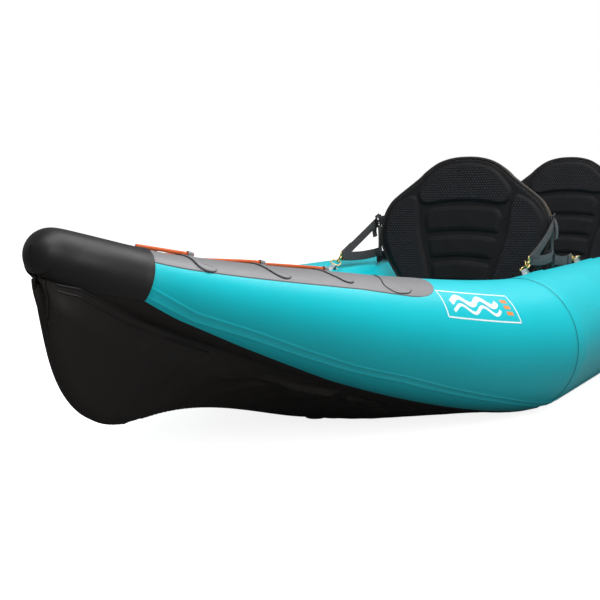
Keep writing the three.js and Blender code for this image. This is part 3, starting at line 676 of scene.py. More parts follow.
LOOKS = {maker.__name__: maker() for maker in (
    teal_pvc, seam_tape, painted_seam_shade, black_tarpaulin, black_rubber, panel_rubber, grey_pvc, painted_loop_shadow, pale_webbing,
    bungee_cord, webbing, thread, seat_foam, seat_fabric, seat_binding, brass, black_plastic, grey_plastic,
    floor_pvc, white_ink, orange_ink)}

# ------------------------------------------------------------------ pieces


def piece(name, form, look, body, slot, stands_for=(), sharp=38, weld=False):
    """Makes one visible piece from a form, and puts it on its body when the body is given by name."""
    mesh = bpy.data.meshes.new(name)
    mesh.from_pydata(form.points.tolist(), [], form.quads.tolist() + form.tris.tolist())
    layer = mesh.uv_layers.new(name="UVMap")
    layer.data.foreach_set("uv", np.concatenate([form.quad_uv.ravel(), form.tri_uv.ravel()]))
    if weld:
        work = bmesh.new()
        work.from_mesh(mesh)
        bmesh.ops.remove_doubles(work, verts=work.verts, dist=1e-6)
        work.to_mesh(mesh)
        work.free()
    mesh.polygons.foreach_set("use_smooth", [True] * len(mesh.polygons))
    mesh.set_sharp_from_angle(angle=math.radians(sharp))
    mesh.materials.append(LOOKS[look])
    made = bpy.data.objects.new(name, mesh)
    bpy.context.scene.collection.objects.link(made)
    if isinstance(body, str):
        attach(made, body)
    else:
        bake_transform(made)
    if stands_for:
        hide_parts(*([stands_for] if isinstance(stands_for, str) else stands_for))
    return made


# ------------------------------------------------------------------ tubes


def tube_at(x):
    s = np.maximum(0.0, (np.abs(x) - RING_X) / (TIP_X - RING_X))
    offset = TUBE_OFFSET - (TUBE_OFFSET - TIP_OFFSET) * s**NARROWING - CLOSING * s**CLOSING_POWER
    return (np.maximum(0.0, offset),
            TUBE_HEIGHT + (TIP_HEIGHT - TUBE_HEIGHT) * s**RISING + TIP_LIFT * s**TIP_LIFT_POWER,
            TUBE_RADIUS - (TUBE_RADIUS - TIP_RADIUS) * s**THINNING)


def tube_frame(x):
    """Port tube's centre, radius and the three directions of its section, at each x."""
    x = np.asarray(x, float)
    y, z, radius = tube_at(x)
    step = 0.001
    (y0, z0, _), (y1, z1, _) = tube_at(x - step), tube_at(x + step)
    inwards = (y1 - y0) * (1 - smooth((np.abs(x) - NOSE_START) / (END_X - NOSE_START)))
    forward = unit(np.stack([np.full_like(x, 2 * step), inwards, z1 - z0], -1))
    outward = unit(np.stack([-forward[..., 1], forward[..., 0], np.zeros_like(x)], -1))
    return np.stack([x, y, z], -1), radius, forward, outward, np.cross(forward, outward)


def radial(x, angle):
    _, _, _, outward, upward = tube_frame(x)
    turn = np.radians(np.asarray(angle, float))[..., None]
    return np.cos(turn) * outward + np.sin(turn) * upward


def tube_point(x, angle, lift=0.0):
    """Point on the port tube at x and an angle in degrees, lifted off its wall."""
    x, angle, lift = np.broadcast_arrays(np.asarray(x, float), angle, lift)
    centre, radius, _, _, _ = tube_frame(x)
    points = centre + radial(x, angle) * (radius + lift)[..., None]
    points[..., 2] -= along(CREST_PRESS, np.abs(x)) * np.maximum(0, np.sin(np.radians(angle))) ** 2
    return points


def end_point(turn, angle, lift=0.0):
    """Point on the rounded end beyond the last station, turn going from 0 there to 90 at the apex."""
    turn, angle, lift = np.broadcast_arrays(np.asarray(turn, float), angle, lift)
    last = np.full(turn.shape, END_X)
    centre, radius, forward, _, _ = tube_frame(last)
    reach = (radius + lift)[..., None]
    lean = np.radians(turn)[..., None]
    return centre + reach * (np.sin(lean) * forward + np.cos(lean) * radial(last, angle))


def port_tube():
    """Smooth tube with a slight pinch and a lap at each seam ring."""
    half = between((0.0, 0.78, 0.02), (0.78, 0.83, 0.001), (0.83, END_X, 0.006))
    stations = np.concatenate([-half[:0:-1], half])
    angles = np.linspace(0, 360, 112, endpoint=False)
    fore = np.abs(stations) - RING_X - 0.006
    ring_lift = -0.0016 * np.exp(-(fore / 0.011) ** 2) + 0.0006 * smooth((fore + 0.0008) / 0.0016)
    ring_lift -= UNDER_COVER * smooth((np.abs(stations) - COVER_X - 0.012) / 0.02)
    body = tube_point(stations[:, None], angles, ring_lift[:, None])
    cap = end_point(np.linspace(6, 88, 14)[:, None], angles, 0.0006 - UNDER_COVER)
    stern = (cap * (-1, 1, 1))[::-1]
    rings = np.concatenate([stern, body, cap])
    rings[..., 1] = np.maximum(rings[..., 1], MIDDLE_GAP)
    return loft(rings)


def seam_tape_form():
    """Doubled seam along the tube's lower side: a thin tape with a raised line near each edge."""
    half = between((0.0, 0.78, 0.02), (0.78, 1.765, 0.006))
    stations = np.concatenate([-half[:0:-1], half])
    places = np.array([-13, -11.6, -9.6, -8.2, -6.8, -5.4, 0, 5.4, 6.8, 8.2, 9.6, 11.6, 13]) / 1000
    lifts = np.array([0.05, 0.35, 0.45, 1.15, 1.15, 0.5, 0.45, 0.5, 1.15, 1.15, 0.45, 0.35, 0.05]) / 1000
    radius = tube_at(stations)[2][:, None]
    angles = along(SEAM_TAPE, stations)[:, None] + np.degrees(places / radius)
    fade = smooth((1.768 - np.abs(stations)) / 0.02)[:, None]
    outer = tube_point(stations[:, None], angles, lifts * (0.4 + 0.6 * fade) + 0.0002)
    inner = tube_point(stations[:, None], angles, -0.001)
    return sheet(outer, inner)


def ring_lines():
    """Bead of dark teal in the lap at each seam ring, round all of the tube that shows: painted shade along the lap's
    groove.
    """
    angles = np.linspace(-58, 230, 120)
    lines = [tube_point(x, angles, 0.0003) for x in (RING_X + 0.006, -RING_X - 0.006)]
    return together(*[sweep(line, rectangle(0.0011, 0.0010, 0.0004)) for line in lines])


# ------------------------------------------------------------------ skin


def keel_line(x):
    """Keel and stem, offset to the skin's outer face, at each station x."""
    a = np.abs(np.asarray(x, float))
    share = np.clip((a - FOREFOOT_X) / (STEM_X - FOREFOOT_X), 0, 1)
    drop = STEM_TOP - ROCKER_HEIGHT - KEEL_LOW

    def height(at, part):
        rocker = KEEL_LOW + ROCKER_HEIGHT * smooth((at - ROCKER_START) / (ROCKER_END - ROCKER_START))
        stem = STEM_TOP - drop * np.maximum(0, 1 - part**FOREFOOT_POWER) ** (1 / FOREFOOT_POWER)
        return np.where(at <= FOREFOOT_X, rocker, stem)

    step = 0.0004
    back = np.clip((a - step - FOREFOOT_X) / (STEM_X - FOREFOOT_X), 0, 1)
    rise = (height(a, share) - height(a - step, back)) / step
    length = np.sqrt(1 + rise**2)
    return a + SKIN_PROUD * rise / length, height(a, share) - SKIN_PROUD / length


def folds(x, down):
    """Tension folds of the skin's wall below the tube, in metres, at x and a distance down the wall."""
    lines = [((1.30, 0.020), (1.45, 0.060), 0.006, 0.0070), ((1.30, 0.028), (1.52, 0.050), 0.006, 0.0055),
             ((1.30, 0.034), (1.42, 0.105), 0.008, 0.0060), ((1.29, 0.034), (1.14, 0.055), 0.007, 0.0065),
             ((1.28, 0.045), (1.10, 0.085), 0.009, 0.0050), ((1.44, 0.060), (1.60, 0.130), 0.008, 0.0024),
             ((1.46, 0.045), (1.60, 0.070), 0.007, 0.0022), ((1.66, 0.050), (1.70, 0.150), 0.010, 0.0014)]
    total = np.zeros_like(x)
    for start, end, width, height in lines:
        a, b = np.array(start), np.array(end)
        run = b - a
        length = np.linalg.norm(run)
        ahead = run / length
        share = ((x - a[0]) * ahead[0] + (down - a[1]) * ahead[1]) / length
        off = (x - a[0]) * -ahead[1] + (down - a[1]) * ahead[0]
        off = off + 0.004 * np.sin(share * 7 + a[0] * 40)
        span = width * (0.6 + share.clip(0, 1))
        ridge = np.exp(-(off / span) ** 2) - 0.7 * np.exp(-((off - 1.7 * span) / span) ** 2)
        total += height * ridge * smooth(share / 0.18 + 0.2) * smooth((1.15 - share) / 0.7)
    return total


def ripples(x, down):
    """Slow unevenness of stretched cloth."""
    return (0.0009 * np.sin(x * 31 + down * 22 + 0.7) * np.sin(down * 47 - x * 9)
            + 0.0006 * np.sin(x * 63 - down * 71 + 2.1) + 0.0004 * np.sin(x * 118 + down * 95))


def wall_points(x, down):
    """Points of the skin's wall on the port side between the tube (down 0) and the keel (down 1)."""
    x, down = np.broadcast_arrays(np.asarray(x, float), down)
    leave = tube_point(np.abs(x), along(SKIN_CREASE, x), SKIN_PROUD + 0.0005)
    keel_x, keel_z = keel_line(x)
    keel = np.stack([keel_x, np.zeros_like(keel_x), keel_z], -1)
    share = down[..., None]
    points = leave * (1 - share) + keel * share
    points[..., 2] -= 4 * down * (1 - down) * along(SAG, x)
    points[..., 2] = np.maximum(points[..., 2], np.minimum(KEEL_LOW - SKIN_PROUD, keel_z))
    stem = FOREFOOT_X + (STEM_X - FOREFOOT_X) * np.sin(np.linspace(0, math.pi / 2, 300))
    line = np.stack(keel_line(np.concatenate([np.linspace(0.9, FOREFOOT_X, 250), stem])), -1)
    flat = points[..., [0, 2]].reshape(-1, 1, 2)
    reach = np.concatenate([np.linalg.norm(part - line, axis=-1).min(1) for part in np.array_split(flat, 40)])
    reach = reach.reshape(x.shape)
    steep = smooth((np.abs(x) - 1.0) / 0.5)
    roundness = np.sqrt(np.maximum(0, 1 - (1 - np.minimum(reach / (1.3 * KEEL_EDGE), 1)) ** 2))
    points[..., 1] += KEEL_EDGE * steep * roundness * (1 - reach / (reach + 0.25)) * smooth(down * 3)
    return points


def skin_grid(x, band, wall):
    """Rows from the port edge over the keel to the starboard edge, facing out, with folds."""
    edge, crease = along(SKIN_EDGE, x)[:, None], along(SKIN_CREASE, x)[:, None]
    share = np.linspace(0, 1, band)[:-1]
    lift = 0.0009 + (SKIN_PROUD - 0.0004) * smooth(share)
    glued = tube_point(np.abs(x)[:, None], edge + (crease - edge) * share, lift)
    down = np.linspace(0, 1, wall)
    side = wall_points(x[:, None], down)
    half = np.concatenate([glued, side], 1)
    length = np.linalg.norm(side[:, -1] - side[:, 0], axis=1)
    away = np.concatenate([np.zeros((len(x), band - 1)), down * length[:, None]], 1)
    station = np.broadcast_to(np.abs(x)[:, None], away.shape)
    lifts = (folds(station, away) + ripples(station, away)) * smooth(away / 0.03)
    lifts = lifts * smooth((length[:, None] - away) / 0.05) * smooth((station - 0.95) / 0.2)
    lifts = lifts * smooth((1.80 - station) / 0.1)
    full = np.concatenate([half, (half * (1, -1, 1))[:, -2::-1]], 1)
    lifts = np.concatenate([lifts, lifts[:, -2::-1]], 1)
    full = full * np.where(x < 0, -1, 1)[:, None, None] ** np.array([1, 0, 0])
    normals = facing(full)
    if normals[len(x) // 2, band + 2, 2] > 0:
        normals = -normals
    return full + normals * lifts[..., None], normals


def bottom_skin():
    bow = np.concatenate([between((0.95, FOREFOOT_X, 0.005)),
                          FOREFOOT_X + (STEM_X - FOREFOOT_X) * np.sin(np.linspace(0, math.pi / 2, 44))[1:]])
    half = np.concatenate([between((0.0, 0.95, 0.025))[:-1], bow])
    stations = np.concatenate([-half[:0:-1], half])
    outer, normals = skin_grid(stations, 9, 56)
    return sheet(outer, outer - normals * SKIN_THICKNESS)


def keel_panel():
    """Smooth panel over stem and forefoot, with a thin raised rim along its curved aft seam."""
    down = np.linspace(0.10, 1, 70)
    shares = 1 - (1 - np.linspace(0, 1, 90)) ** 1.9
    seam = PANEL_FOOT_X - (PANEL_FOOT_X - PANEL_TOP_X) * (1 - down) ** 1.35
    x = seam + (STEM_X - seam) * shares[:, None]
    points = wall_points(x, down)
    full = np.concatenate([points, (points * (1, -1, 1))[:, -2::-1]], 1)
    normals = facing(full)
    if normals[len(x) // 2, 10, 1] < 0:
        normals = -normals
    rim = np.exp(-((shares - 0.02) / 0.02) ** 2)[:, None]
    outer = full + normals * (0.0011 + 0.0007 * rim)[..., None]
    return sheet(outer, full - normals * 0.0004)


def crease_welts():
    """Two thin welts where the skin leaves the tube, below the nose cover."""
    x = np.linspace(1.60, 1.866, 60)
    sink = 0.0022 * smooth((1.68 - x) / 0.08)
    made = []
    for down in (0.02, 0.085):
        points = wall_points(x, down)
        points[:, 1] -= sink
        made.append(sweep(points, circle(0.0017, 8)))
    return together(*made)


# ------------------------------------------------------------------ nose cover


def cover_section(x, turn, lift, count):
    """Nose cover's section from its top's middle down the port side to its lower edge."""
    y, z, radius = (float(v) for v in tube_at(x))
    edge = COVER_EDGE + math.tan(math.radians(COVER_SLOPE)) * (x - COVER_X)
    low = math.degrees(math.asin(np.clip((edge - z) / (radius + lift), -0.98, 0.98)))
    arc = math.pi * radius * math.cos(math.radians(turn))
    total = 2 * y + arc
    reach = y + arc * (90 - low) / 180
    closed = 1.0 if turn else smooth((x - COVER_WRAP) / (END_X - COVER_WRAP))
    run = np.linspace(0, reach + (total - reach) * closed, count)
    angle = 90 - 180 * np.clip((run - y) / arc, 0, 1)
    points = end_point(turn, angle, lift) if turn else tube_point(x, angle, lift)
    flat = max(y, 1e-9)
    points[:, 1] *= np.clip(np.minimum(run, total - run) / flat, 0, 1)
    points[1:, 1] = np.maximum(points[1:, 1], MIDDLE_GAP)
    return points, 1 - closed


def nose_cover():
    """Rubber cap over both tube ends, open below between its wings and closed round the very nose."""
    stations = [(x, 0.0) for x in between((COVER_X - 0.002, END_X, 0.004))]
    stations += [(END_X, turn) for turn in np.linspace(0, 89.4, 20)[1:]]
    count = 61

    def surface(lift):
        sections, opened = zip(*(cover_section(x, turn, lift, count) for x, turn in stations))
        halves = np.array(sections)
        share = np.clip((halves[..., 0] - COVER_X) / NOSE_LENGTH, 0, 1)
        wanted = NOSE_HALF * (1 - share ** NOSE_POWERS[0]) ** NOSE_POWERS[1]
        widest = halves[..., 1].max(1, keepdims=True)
        halves[..., 1] *= np.clip(wanted.min(1, keepdims=True) / np.maximum(widest, 1e-4), 1, NOSE_STRETCH)
        for _ in range(NOSE_SMOOTHING):
            halves[1:-1] = (halves[:-2] + 2 * halves[1:-1] + halves[2:]) / 4
        return np.concatenate([(halves * (1, -1, 1))[:, :0:-1], halves], 1), np.array(opened)[:, None]

    outer, opened = surface(COVER_PROUD)
    inner, _ = surface(COVER_PROUD - 0.0024)
    normals = facing(outer)
    if normals[10, count, 2] < 0:
        normals = -normals
    run = np.array([x - COVER_X + turn for x, turn in stations])
    rim = np.exp(-(run / 0.0035) ** 2)[:, None]
    edges = np.exp(-((1 - np.abs(np.linspace(-1, 1, 2 * count - 1))) / 0.035) ** 2) * opened
    bead = 0.0010 * np.maximum(rim, edges * 0.8)
    return sheet(outer + normals * bead[..., None], inner)


# ------------------------------------------------------------------ crest strips and bungees


def strip_half(x):
    tongue = np.clip((STRIP_END + TONGUE_LENGTH - x) / TONGUE_LENGTH, 0, 1)
    return along(STRIP_HALF, x) * (1 - tongue**TONGUE_POWER) ** (1 / TONGUE_POWER)


def crest_strip():
    """Grey sheet over the crest with a rounded tongue aft and a second layer forward of a slanting edge."""
    x = np.concatenate([STRIP_END + 0.05 * (1 - np.cos(np.linspace(0.02, math.pi / 2, 40))),
                        between((STRIP_END + 0.053, 1.765, 0.004))])
    q = np.sin(np.linspace(-math.pi / 2, math.pi / 2, 81))
    half = strip_half(x)[:, None]
    angle = STRIP_MIDDLE + half * q
    edge = np.minimum((1 - np.abs(q)) * np.radians(half) * tube_at(x)[2][:, None], 0.004 + (x - STRIP_END)[:, None])
    crown = STRIP_THICKNESS * np.sqrt(np.clip(edge / 0.0015, 0.02, 1))
    slant = x[:, None] - (1.335 - 0.0021 * np.abs(angle - STRIP_MIDDLE))
    crown = crown + 0.0007 * smooth(slant / 0.0022) * smooth(edge / 0.002)
    outer = tube_point(x[:, None], angle, crown)
    return sheet(outer, tube_point(x[:, None], angle, -0.0004))


def loop_band(place, tail, width, height, base):
    """Curved leaf of sheet from the crest down the strip, ending in a rounded hook."""
    x, _ = place
    dx, last = tail
    line = np.array([(0.012, 95), (0.010, 88), (0.006, 79), (0.002, 69), (0.15 * dx, last + 8),
                     (0.50 * dx, last + 1.5), (dx, last), (dx - 0.009, last + 4)])
    path = spline(line * (1, 1 / 400), 70) * (1, 400)
    at = tube_point(x + path[:, 0], path[:, 1], base)
    up = radial(x + path[:, 0], path[:, 1])
    share = np.linspace(0, 1, len(path))
    taper = np.sqrt(np.clip((1 - share) / 0.14, 0.02, 1)) * (0.62 + 0.38 * smooth(share * 2))
    side = unit(np.cross(up, unit(np.gradient(at, axis=0))))
    section = rectangle(width, 2 * height, min(width / 2, height) * 0.8)
    return sweep(at, section, side=side, sizes=taper)


def strip_fold():
    """Raised edge where the crest strip's second layer folds over near its tongue."""
    path = spline(np.array(STRIP_FOLD) * (1, 1 / 400), 80) * (1, 400)
    at = tube_point(path[:, 0], path[:, 1], 0.0022)
    up = radial(path[:, 0], path[:, 1])
    side = unit(np.cross(up, unit(np.gradient(at, axis=0))))
    taper = np.sqrt(np.clip(np.minimum(np.linspace(0, 6, 80), np.linspace(6, 0, 80)), 0.03, 1))
    return sweep(at, rectangle(0.0030, 0.0012, 0.0005), side=side, sizes=taper)


def arch(x, angle):
    """Low band over the bungee, which holds it down on its loop."""
    _, _, forward, _, _ = tube_frame(np.array(float(x)))
    up = radial(x, angle)
    around = np.cross(forward, up)
    turn = np.linspace(0, math.pi, 15)
    foot = tube_point(x, angle, 0.0015)
    spread, height = 0.0052 * np.cos(turn), BUNGEE_LIFT - 0.003 + 0.0052 * np.sin(turn)
    line = np.concatenate([[(0.0125, 0.001)], np.stack([spread, height], 1), [(-0.0125, 0.001)]])
    line = spline(line, 40)
    points = foot + line[:, :1] * around + line[:, 1:] * up
    return sweep(points, rectangle(0.0095, 0.0013, 0.0006), side=forward)


def rounded_line(points, reach, steps=9):
    """Polyline with each inner corner turned into a curve that starts and ends a short way from it."""
    points = np.asarray(points, float)
    made = [points[:1]]
    for before, at, after in zip(points, points[1:], points[2:]):
        start = at + unit(before - at) * min(reach, np.linalg.norm(before - at) / 2)
        end = at + unit(after - at) * min(reach, np.linalg.norm(after - at) / 2)
        share = np.linspace(0, 1, steps)[:, None]
        made.append(start * (1 - share) ** 2 + 2 * at * share * (1 - share) + end * share**2)
    return np.vstack(made + [points[-1:]])


def bungee_form():
    """One elastic cord laced straight from loop to loop, with both its ends under the nose cover."""

    def place(x, angle, side):
        return tube_point(x, angle, BUNGEE_LIFT) * (1, side, 1)

    def run(first, rise):
        """Cord from the nose to the last loop, starting on one side; rise parts it from its other half."""
        points = [place(COVER_X + 0.004, 97, first)]
        side = first
        for k, (x, angle) in enumerate(LOOPS):
            if k:
                over = place(x + BUNGEE_BEND, angle + 6, side)
                points.append((points[-1] + over) / 2 + (0, 0, rise))
                points.append(over)
            points += [place(x, angle, side), place(x - BUNGEE_BEND, angle + 6, side)]
            side = -side
        return points

    out, back = run(1, 0.0032), run(-1, -0.0032)[::-1]
    line = rounded_line(out + back, 0.02)
    return sweep(evenly_spaced(line, 900), circle(BUNGEE_RADIUS, 12))


# ------------------------------------------------------------------ floor


def floor_form():
    """Inflated mat whose top is drawn in along the lines between its ribs."""
    x = between((-FLOOR_END, -RING_X, 0.01), (-RING_X, RING_X, 0.02), (RING_X, FLOOR_END, 0.01))
    beyond = np.maximum(0, np.abs(x) - RING_X)
    share = beyond / (FLOOR_END - RING_X + 0.01)
    half = FLOOR_HALF * (0.3 + 0.7 * np.sqrt(1 - share**2))
    keel = KEEL_LOW + ROCKER_HEIGHT * smooth((np.abs(x) - ROCKER_START) / (ROCKER_END - ROCKER_START))
    wall = tube_point(np.abs(x), along(SKIN_CREASE, x), 0.0005)
    slope = (wall[:, 2] - keel) / wall[:, 1]
    rest = 0.001 + 0.05 * beyond
    low = keel + slope * half + rest
    top = low + FLOOR_THICKNESS - 0.06 * beyond
    turn = np.linspace(-90, 90, 9)
    across = np.linspace(-1, 1, 129)
    rings = []
    for k in range(len(x)):
        bevel = 0.017
        flat = half[k] - bevel
        scallop = 0.0035 * (1 - np.abs(np.cos(across * math.pi * FLOOR_RIBS / 2)) ** 0.5) * smooth((1.12 - abs(x[k])) / 0.06)
        upper = np.stack([across * flat, top[k] - scallop], 1)
        middle = (low[k] + top[k]) / 2
        reach = (top[k] - low[k]) / 2
        starboard = [(-flat - bevel * math.cos(math.radians(a)), middle + reach * math.sin(math.radians(a))) for a in turn]
        port = [(-y, z) for y, z in starboard[::-1]]
        under = np.stack([np.linspace(flat, -flat, 33)[1:-1], keel[k] + rest[k] + slope[k] * np.abs(np.linspace(flat, -flat, 33)[1:-1])], 1)
        outline = np.concatenate([starboard[:-1], upper, port[1:], under])
        rings.append(np.column_stack([np.full(len(outline), x[k]), outline]))
    return loft(rings)


# ------------------------------------------------------------------ seats


def back_outline():
    side = np.array(BACK_OUTLINE)
    whole = np.vstack([side, (side * (-1, 1))[-2::-1]])
    upper = spline(whole, 260)
    foot = np.linspace(upper[-1], upper[0], 30)[1:-1]
    return np.vstack([upper, foot])


def seat_panels():
    """Raised panels of a seat back: outline across and up the back, height, rim width and whether it has dots."""
    side = np.array([(0.046, 0.434), (0.084, 0.420), (0.114, 0.393), (0.137, 0.360), (0.132, 0.332),
                     (0.108, 0.321), (0.055, 0.328)])
    dome = np.vstack([(0, 0.438), side, (0, 0.331), side[::-1] * (-1, 1)])
    dome = spline(dome, 150, closed=True)
    wing = spline([(0.152, 0.349), (0.176, 0.342), (0.204, 0.322), (0.226, 0.292), (0.236, 0.250), (0.233, 0.218),
                   (0.212, 0.170), (0.180, 0.118), (0.155, 0.066), (0.128, 0.030), (0.098, 0.028), (0.086, 0.050),
                   (0.091, 0.110), (0.103, 0.160), (0.119, 0.212), (0.129, 0.256), (0.133, 0.300), (0.139, 0.334)],
                  150, closed=True)[::-1]
    panels = [(dome, 0.0060, 0.009, 1), (wing, 0.0060, 0.009, 1), (wing * (-1, 1), 0.0060, 0.009, 1)]
    widths = [(0.02, 0.066), (0.10, 0.078), (0.16, 0.087), (0.23, 0.103), (0.285, 0.117), (0.33, 0.122)]
    rows = [(0.240, 0.309, 0.026), (0.168, 0.228, 0.010), (0.098, 0.156, 0.010), (0.026, 0.088, 0.010)]
    for low, high, corner in rows:
        w0, w1 = np.interp([low, high], *zip(*widths))
        rib = rounded([(-w0, low), (w0, low), (w1, high), (-w1, high)], [0.008, 0.008, corner, corner], 8)
        rib = evenly_spaced(np.vstack([rib, rib[:1]]), 160, closed=True)
        rib[:, 1] += 0.009 * (1 - (rib[:, 0] / w1) ** 2)
        panels.append((rib, 0.0042, 0.0055, 0))
        panels.append((inset(rib, 0.007), 0.0018, 0.005, 0))
    return panels


def seat_front():
    """Places, relief and dot mask of a seat back's face on a fine grid, and which quads belong to it."""
    outline = back_outline()
    step = 0.0019
    y = np.arange(-0.256, 0.2561, step)
    z = np.arange(0.008, 0.4601, step)
    flat = np.stack(np.meshgrid(y, z), -1).reshape(-1, 2)
    depth, nearest = inside_distance(flat, outline)
    places = np.where(depth[:, None] < 0, nearest, flat)
    depth = np.maximum(depth, 0)
    relief = -0.0045 + 0.0035 * smooth(depth / 0.016) - 0.006 * (1 - smooth(depth / 0.009))
    dots = np.zeros(len(flat))
    for shape, height, rim, dotted in seat_panels():
        inner, _ = inside_distance(places, shape)
        relief += height * np.sqrt(np.clip(smooth(inner / rim), 0, 1)) * smooth(depth / 0.01)
        if dotted:
            dots = np.maximum(dots, smooth((inner - 0.007) / 0.003))
    relief += 0.004 * (places[:, 0] / 0.25) ** 2 - 0.004
    puckers = 0.0005 * np.sin(places[:, 0] * 55 + 1) * np.sin(places[:, 1] * 48)
    relief += puckers
    rows, columns = len(z), len(y)
    inside = (inside_distance(flat, outline)[0] > 0).reshape(rows, columns)
    keep = inside[:-1, :-1] | inside[1:, :-1] | inside[:-1, 1:] | inside[1:, 1:]
    return places, relief, dots, keep, (rows, columns)


def back_matrix(seat):
    return Matrix.Translation(HINGES[f"{seat}_back"]) @ Matrix.Rotation(-BACK_LEAN, 4, "Y")


def add_seat_pad(seat, face):
    places, relief, dots, keep, (rows, columns) = face
    points = np.column_stack([PAD_FRONT + relief, places])
    i, j = np.nonzero(keep)
    a = i * columns + j
    quads = np.stack([a, a + 1, a + columns + 1, a + columns], 1)
    used = np.unique(quads)
    place_of = np.full(len(points), -1)
    place_of[used] = np.arange(len(used))
    quads = place_of[quads]
    form = Form(points[used], quads, places[used][quads])
    made = piece(f"{seat}_pad", form.moved(back_matrix(seat)), "seat_foam", f"{seat}_back", "seat_foam",
                 f"{seat}_back_pad", sharp=80)
    made.data.attributes.new("dots", "FLOAT", "POINT").data.foreach_set("value", dots[used])
    normal = back_matrix(seat).to_3x3() @ Vector((1, 0, 0))
    origin = back_matrix(seat) @ Vector((PAD_BACK, 0, 0))
    work = bmesh.new()
    work.from_mesh(made.data)
    bmesh.ops.dissolve_degenerate(work, dist=1e-5, edges=work.edges)
    rim = [e for e in work.edges if e.is_boundary]
    drawn = bmesh.ops.extrude_edge_only(work, edges=rim)["geom"]
    for vert in (g for g in drawn if isinstance(g, bmesh.types.BMVert)):
        vert.co -= normal * (vert.co - origin).dot(normal)
    bmesh.ops.holes_fill(work, edges=[e for e in work.edges if e.is_boundary], sides=0)
    bmesh.ops.recalc_face_normals(work, faces=work.faces)
    work.to_mesh(made.data)
    work.free()
    return made


def add_seat_back(seat, face):
    """Foam pad, bound edge, rear panel and its fittings, all on the folding back."""
    body = f"{seat}_back"
    place = back_matrix(seat)
    add_seat_pad(seat, face)
    outline = back_outline()
    edge = evenly_spaced(np.vstack([outline, outline[:1]]), 420, closed=True)
    middle = (PAD_FRONT + PAD_BACK) / 2 - 0.004

    def on_edge(depth, off):
        ring = inset(edge, off)
        return np.column_stack([np.full(len(ring), depth), ring])

    section = rectangle(0.0245, 0.0085, 0.0035, 6)
    binding = sweep(on_edge(middle, 0.0025), section, side=np.tile([1.0, 0, 0], (len(edge), 1)), closed=True)
    piece(f"{seat}_binding", binding.moved(place), "seat_binding", body, "seat_shell", weld=True, sharp=50)
    bead = sweep(on_edge(PAD_FRONT - 0.0105, 0.0058), circle(0.0021, 10), closed=True)
    piece(f"{seat}_piping", bead.moved(place), "seat_binding", body, "seat_shell", weld=True)
    thread_line = on_edge(PAD_FRONT - 0.0052, 0.0085)
    rows = stitches(np.vstack([thread_line, thread_line[:1]]), (0.0006, 0, 0))
    piece(f"{seat}_edge_stitching", rows.moved(place), "thread", body, "webbing")

    shell = slab(inset(outline, 0.0065), 0.005, 0.0022)
    turned = basis((PAD_BACK - 0.0032, 0, 0), (0, 1, 0), (0, 0, 1), (1, 0, 0))
    piece(f"{seat}_shell", shell.moved(place @ turned), "seat_fabric", body, "seat_shell", f"{seat}_back_shell",
          sharp=60)
    for k, (height, half) in enumerate(((0.275, 0.236), (0.185, 0.226))):
        y = np.linspace(-half, half, 60)
        path = np.column_stack([np.full(60, PAD_BACK - 0.0078), y, np.full(60, height)])
        strap = sweep(path, rectangle(0.038, 0.0022, 0.0009), side=np.tile([0, 0, 1.0], (60, 1)))
        rows = [stitches(path + (-0.0011, 0, s * 0.0155), (-0.0006, 0, 0)) for s in (-1, 1)]
        piece(f"{seat}_rear_band_{k + 1}", strap.moved(place), "webbing", body, "webbing")
        piece(f"{seat}_rear_band_{k + 1}_stitching", together(*rows).moved(place), "thread", body, "webbing")


def ladder_lock():
    """Flat strap buckle, upright and facing +Y: an outer frame and two cross bars."""
    frame_line = rectangle(0.031, 0.028, 0.005, 6)
    path = np.column_stack([frame_line[:, 0], np.zeros(len(frame_line)), frame_line[:, 1]])
    outer = sweep(path, rectangle(0.0040, 0.0046, 0.0014), side=np.tile([0, 1.0, 0], (len(path), 1)), closed=True)
    bars = []
    for height, thick in ((0.0, 0.0042), (-0.0075, 0.0028)):
        line = np.column_stack([np.linspace(-0.015, 0.015, 9), np.full(9, 0.001), np.full(9, height)])
        bars.append(sweep(line, rectangle(thick, thick, 0.0009)))
    lip = np.column_stack([np.linspace(-0.012, 0.012, 9), np.full(9, 0.003), np.full(9, 0.0165)])
    bars.append(sweep(lip, rectangle(0.0026, 0.0060, 0.0011), side=np.tile([0, 1.0, 0], (9, 1))))
    return together(outer, *bars)


def webbing_strip(points, count=60, width=STRAP_WIDTH):
    """Flat strap along a smooth path, its face turned outboard."""
    path = spline(points, count)
    ahead = unit(np.gradient(path, axis=0))
    wide = unit(np.cross(ahead, (0, 1.0, 0)))
    return path, sweep(path, rectangle(width, STRAP_THICKNESS, 0.0009, 3), side=wide)


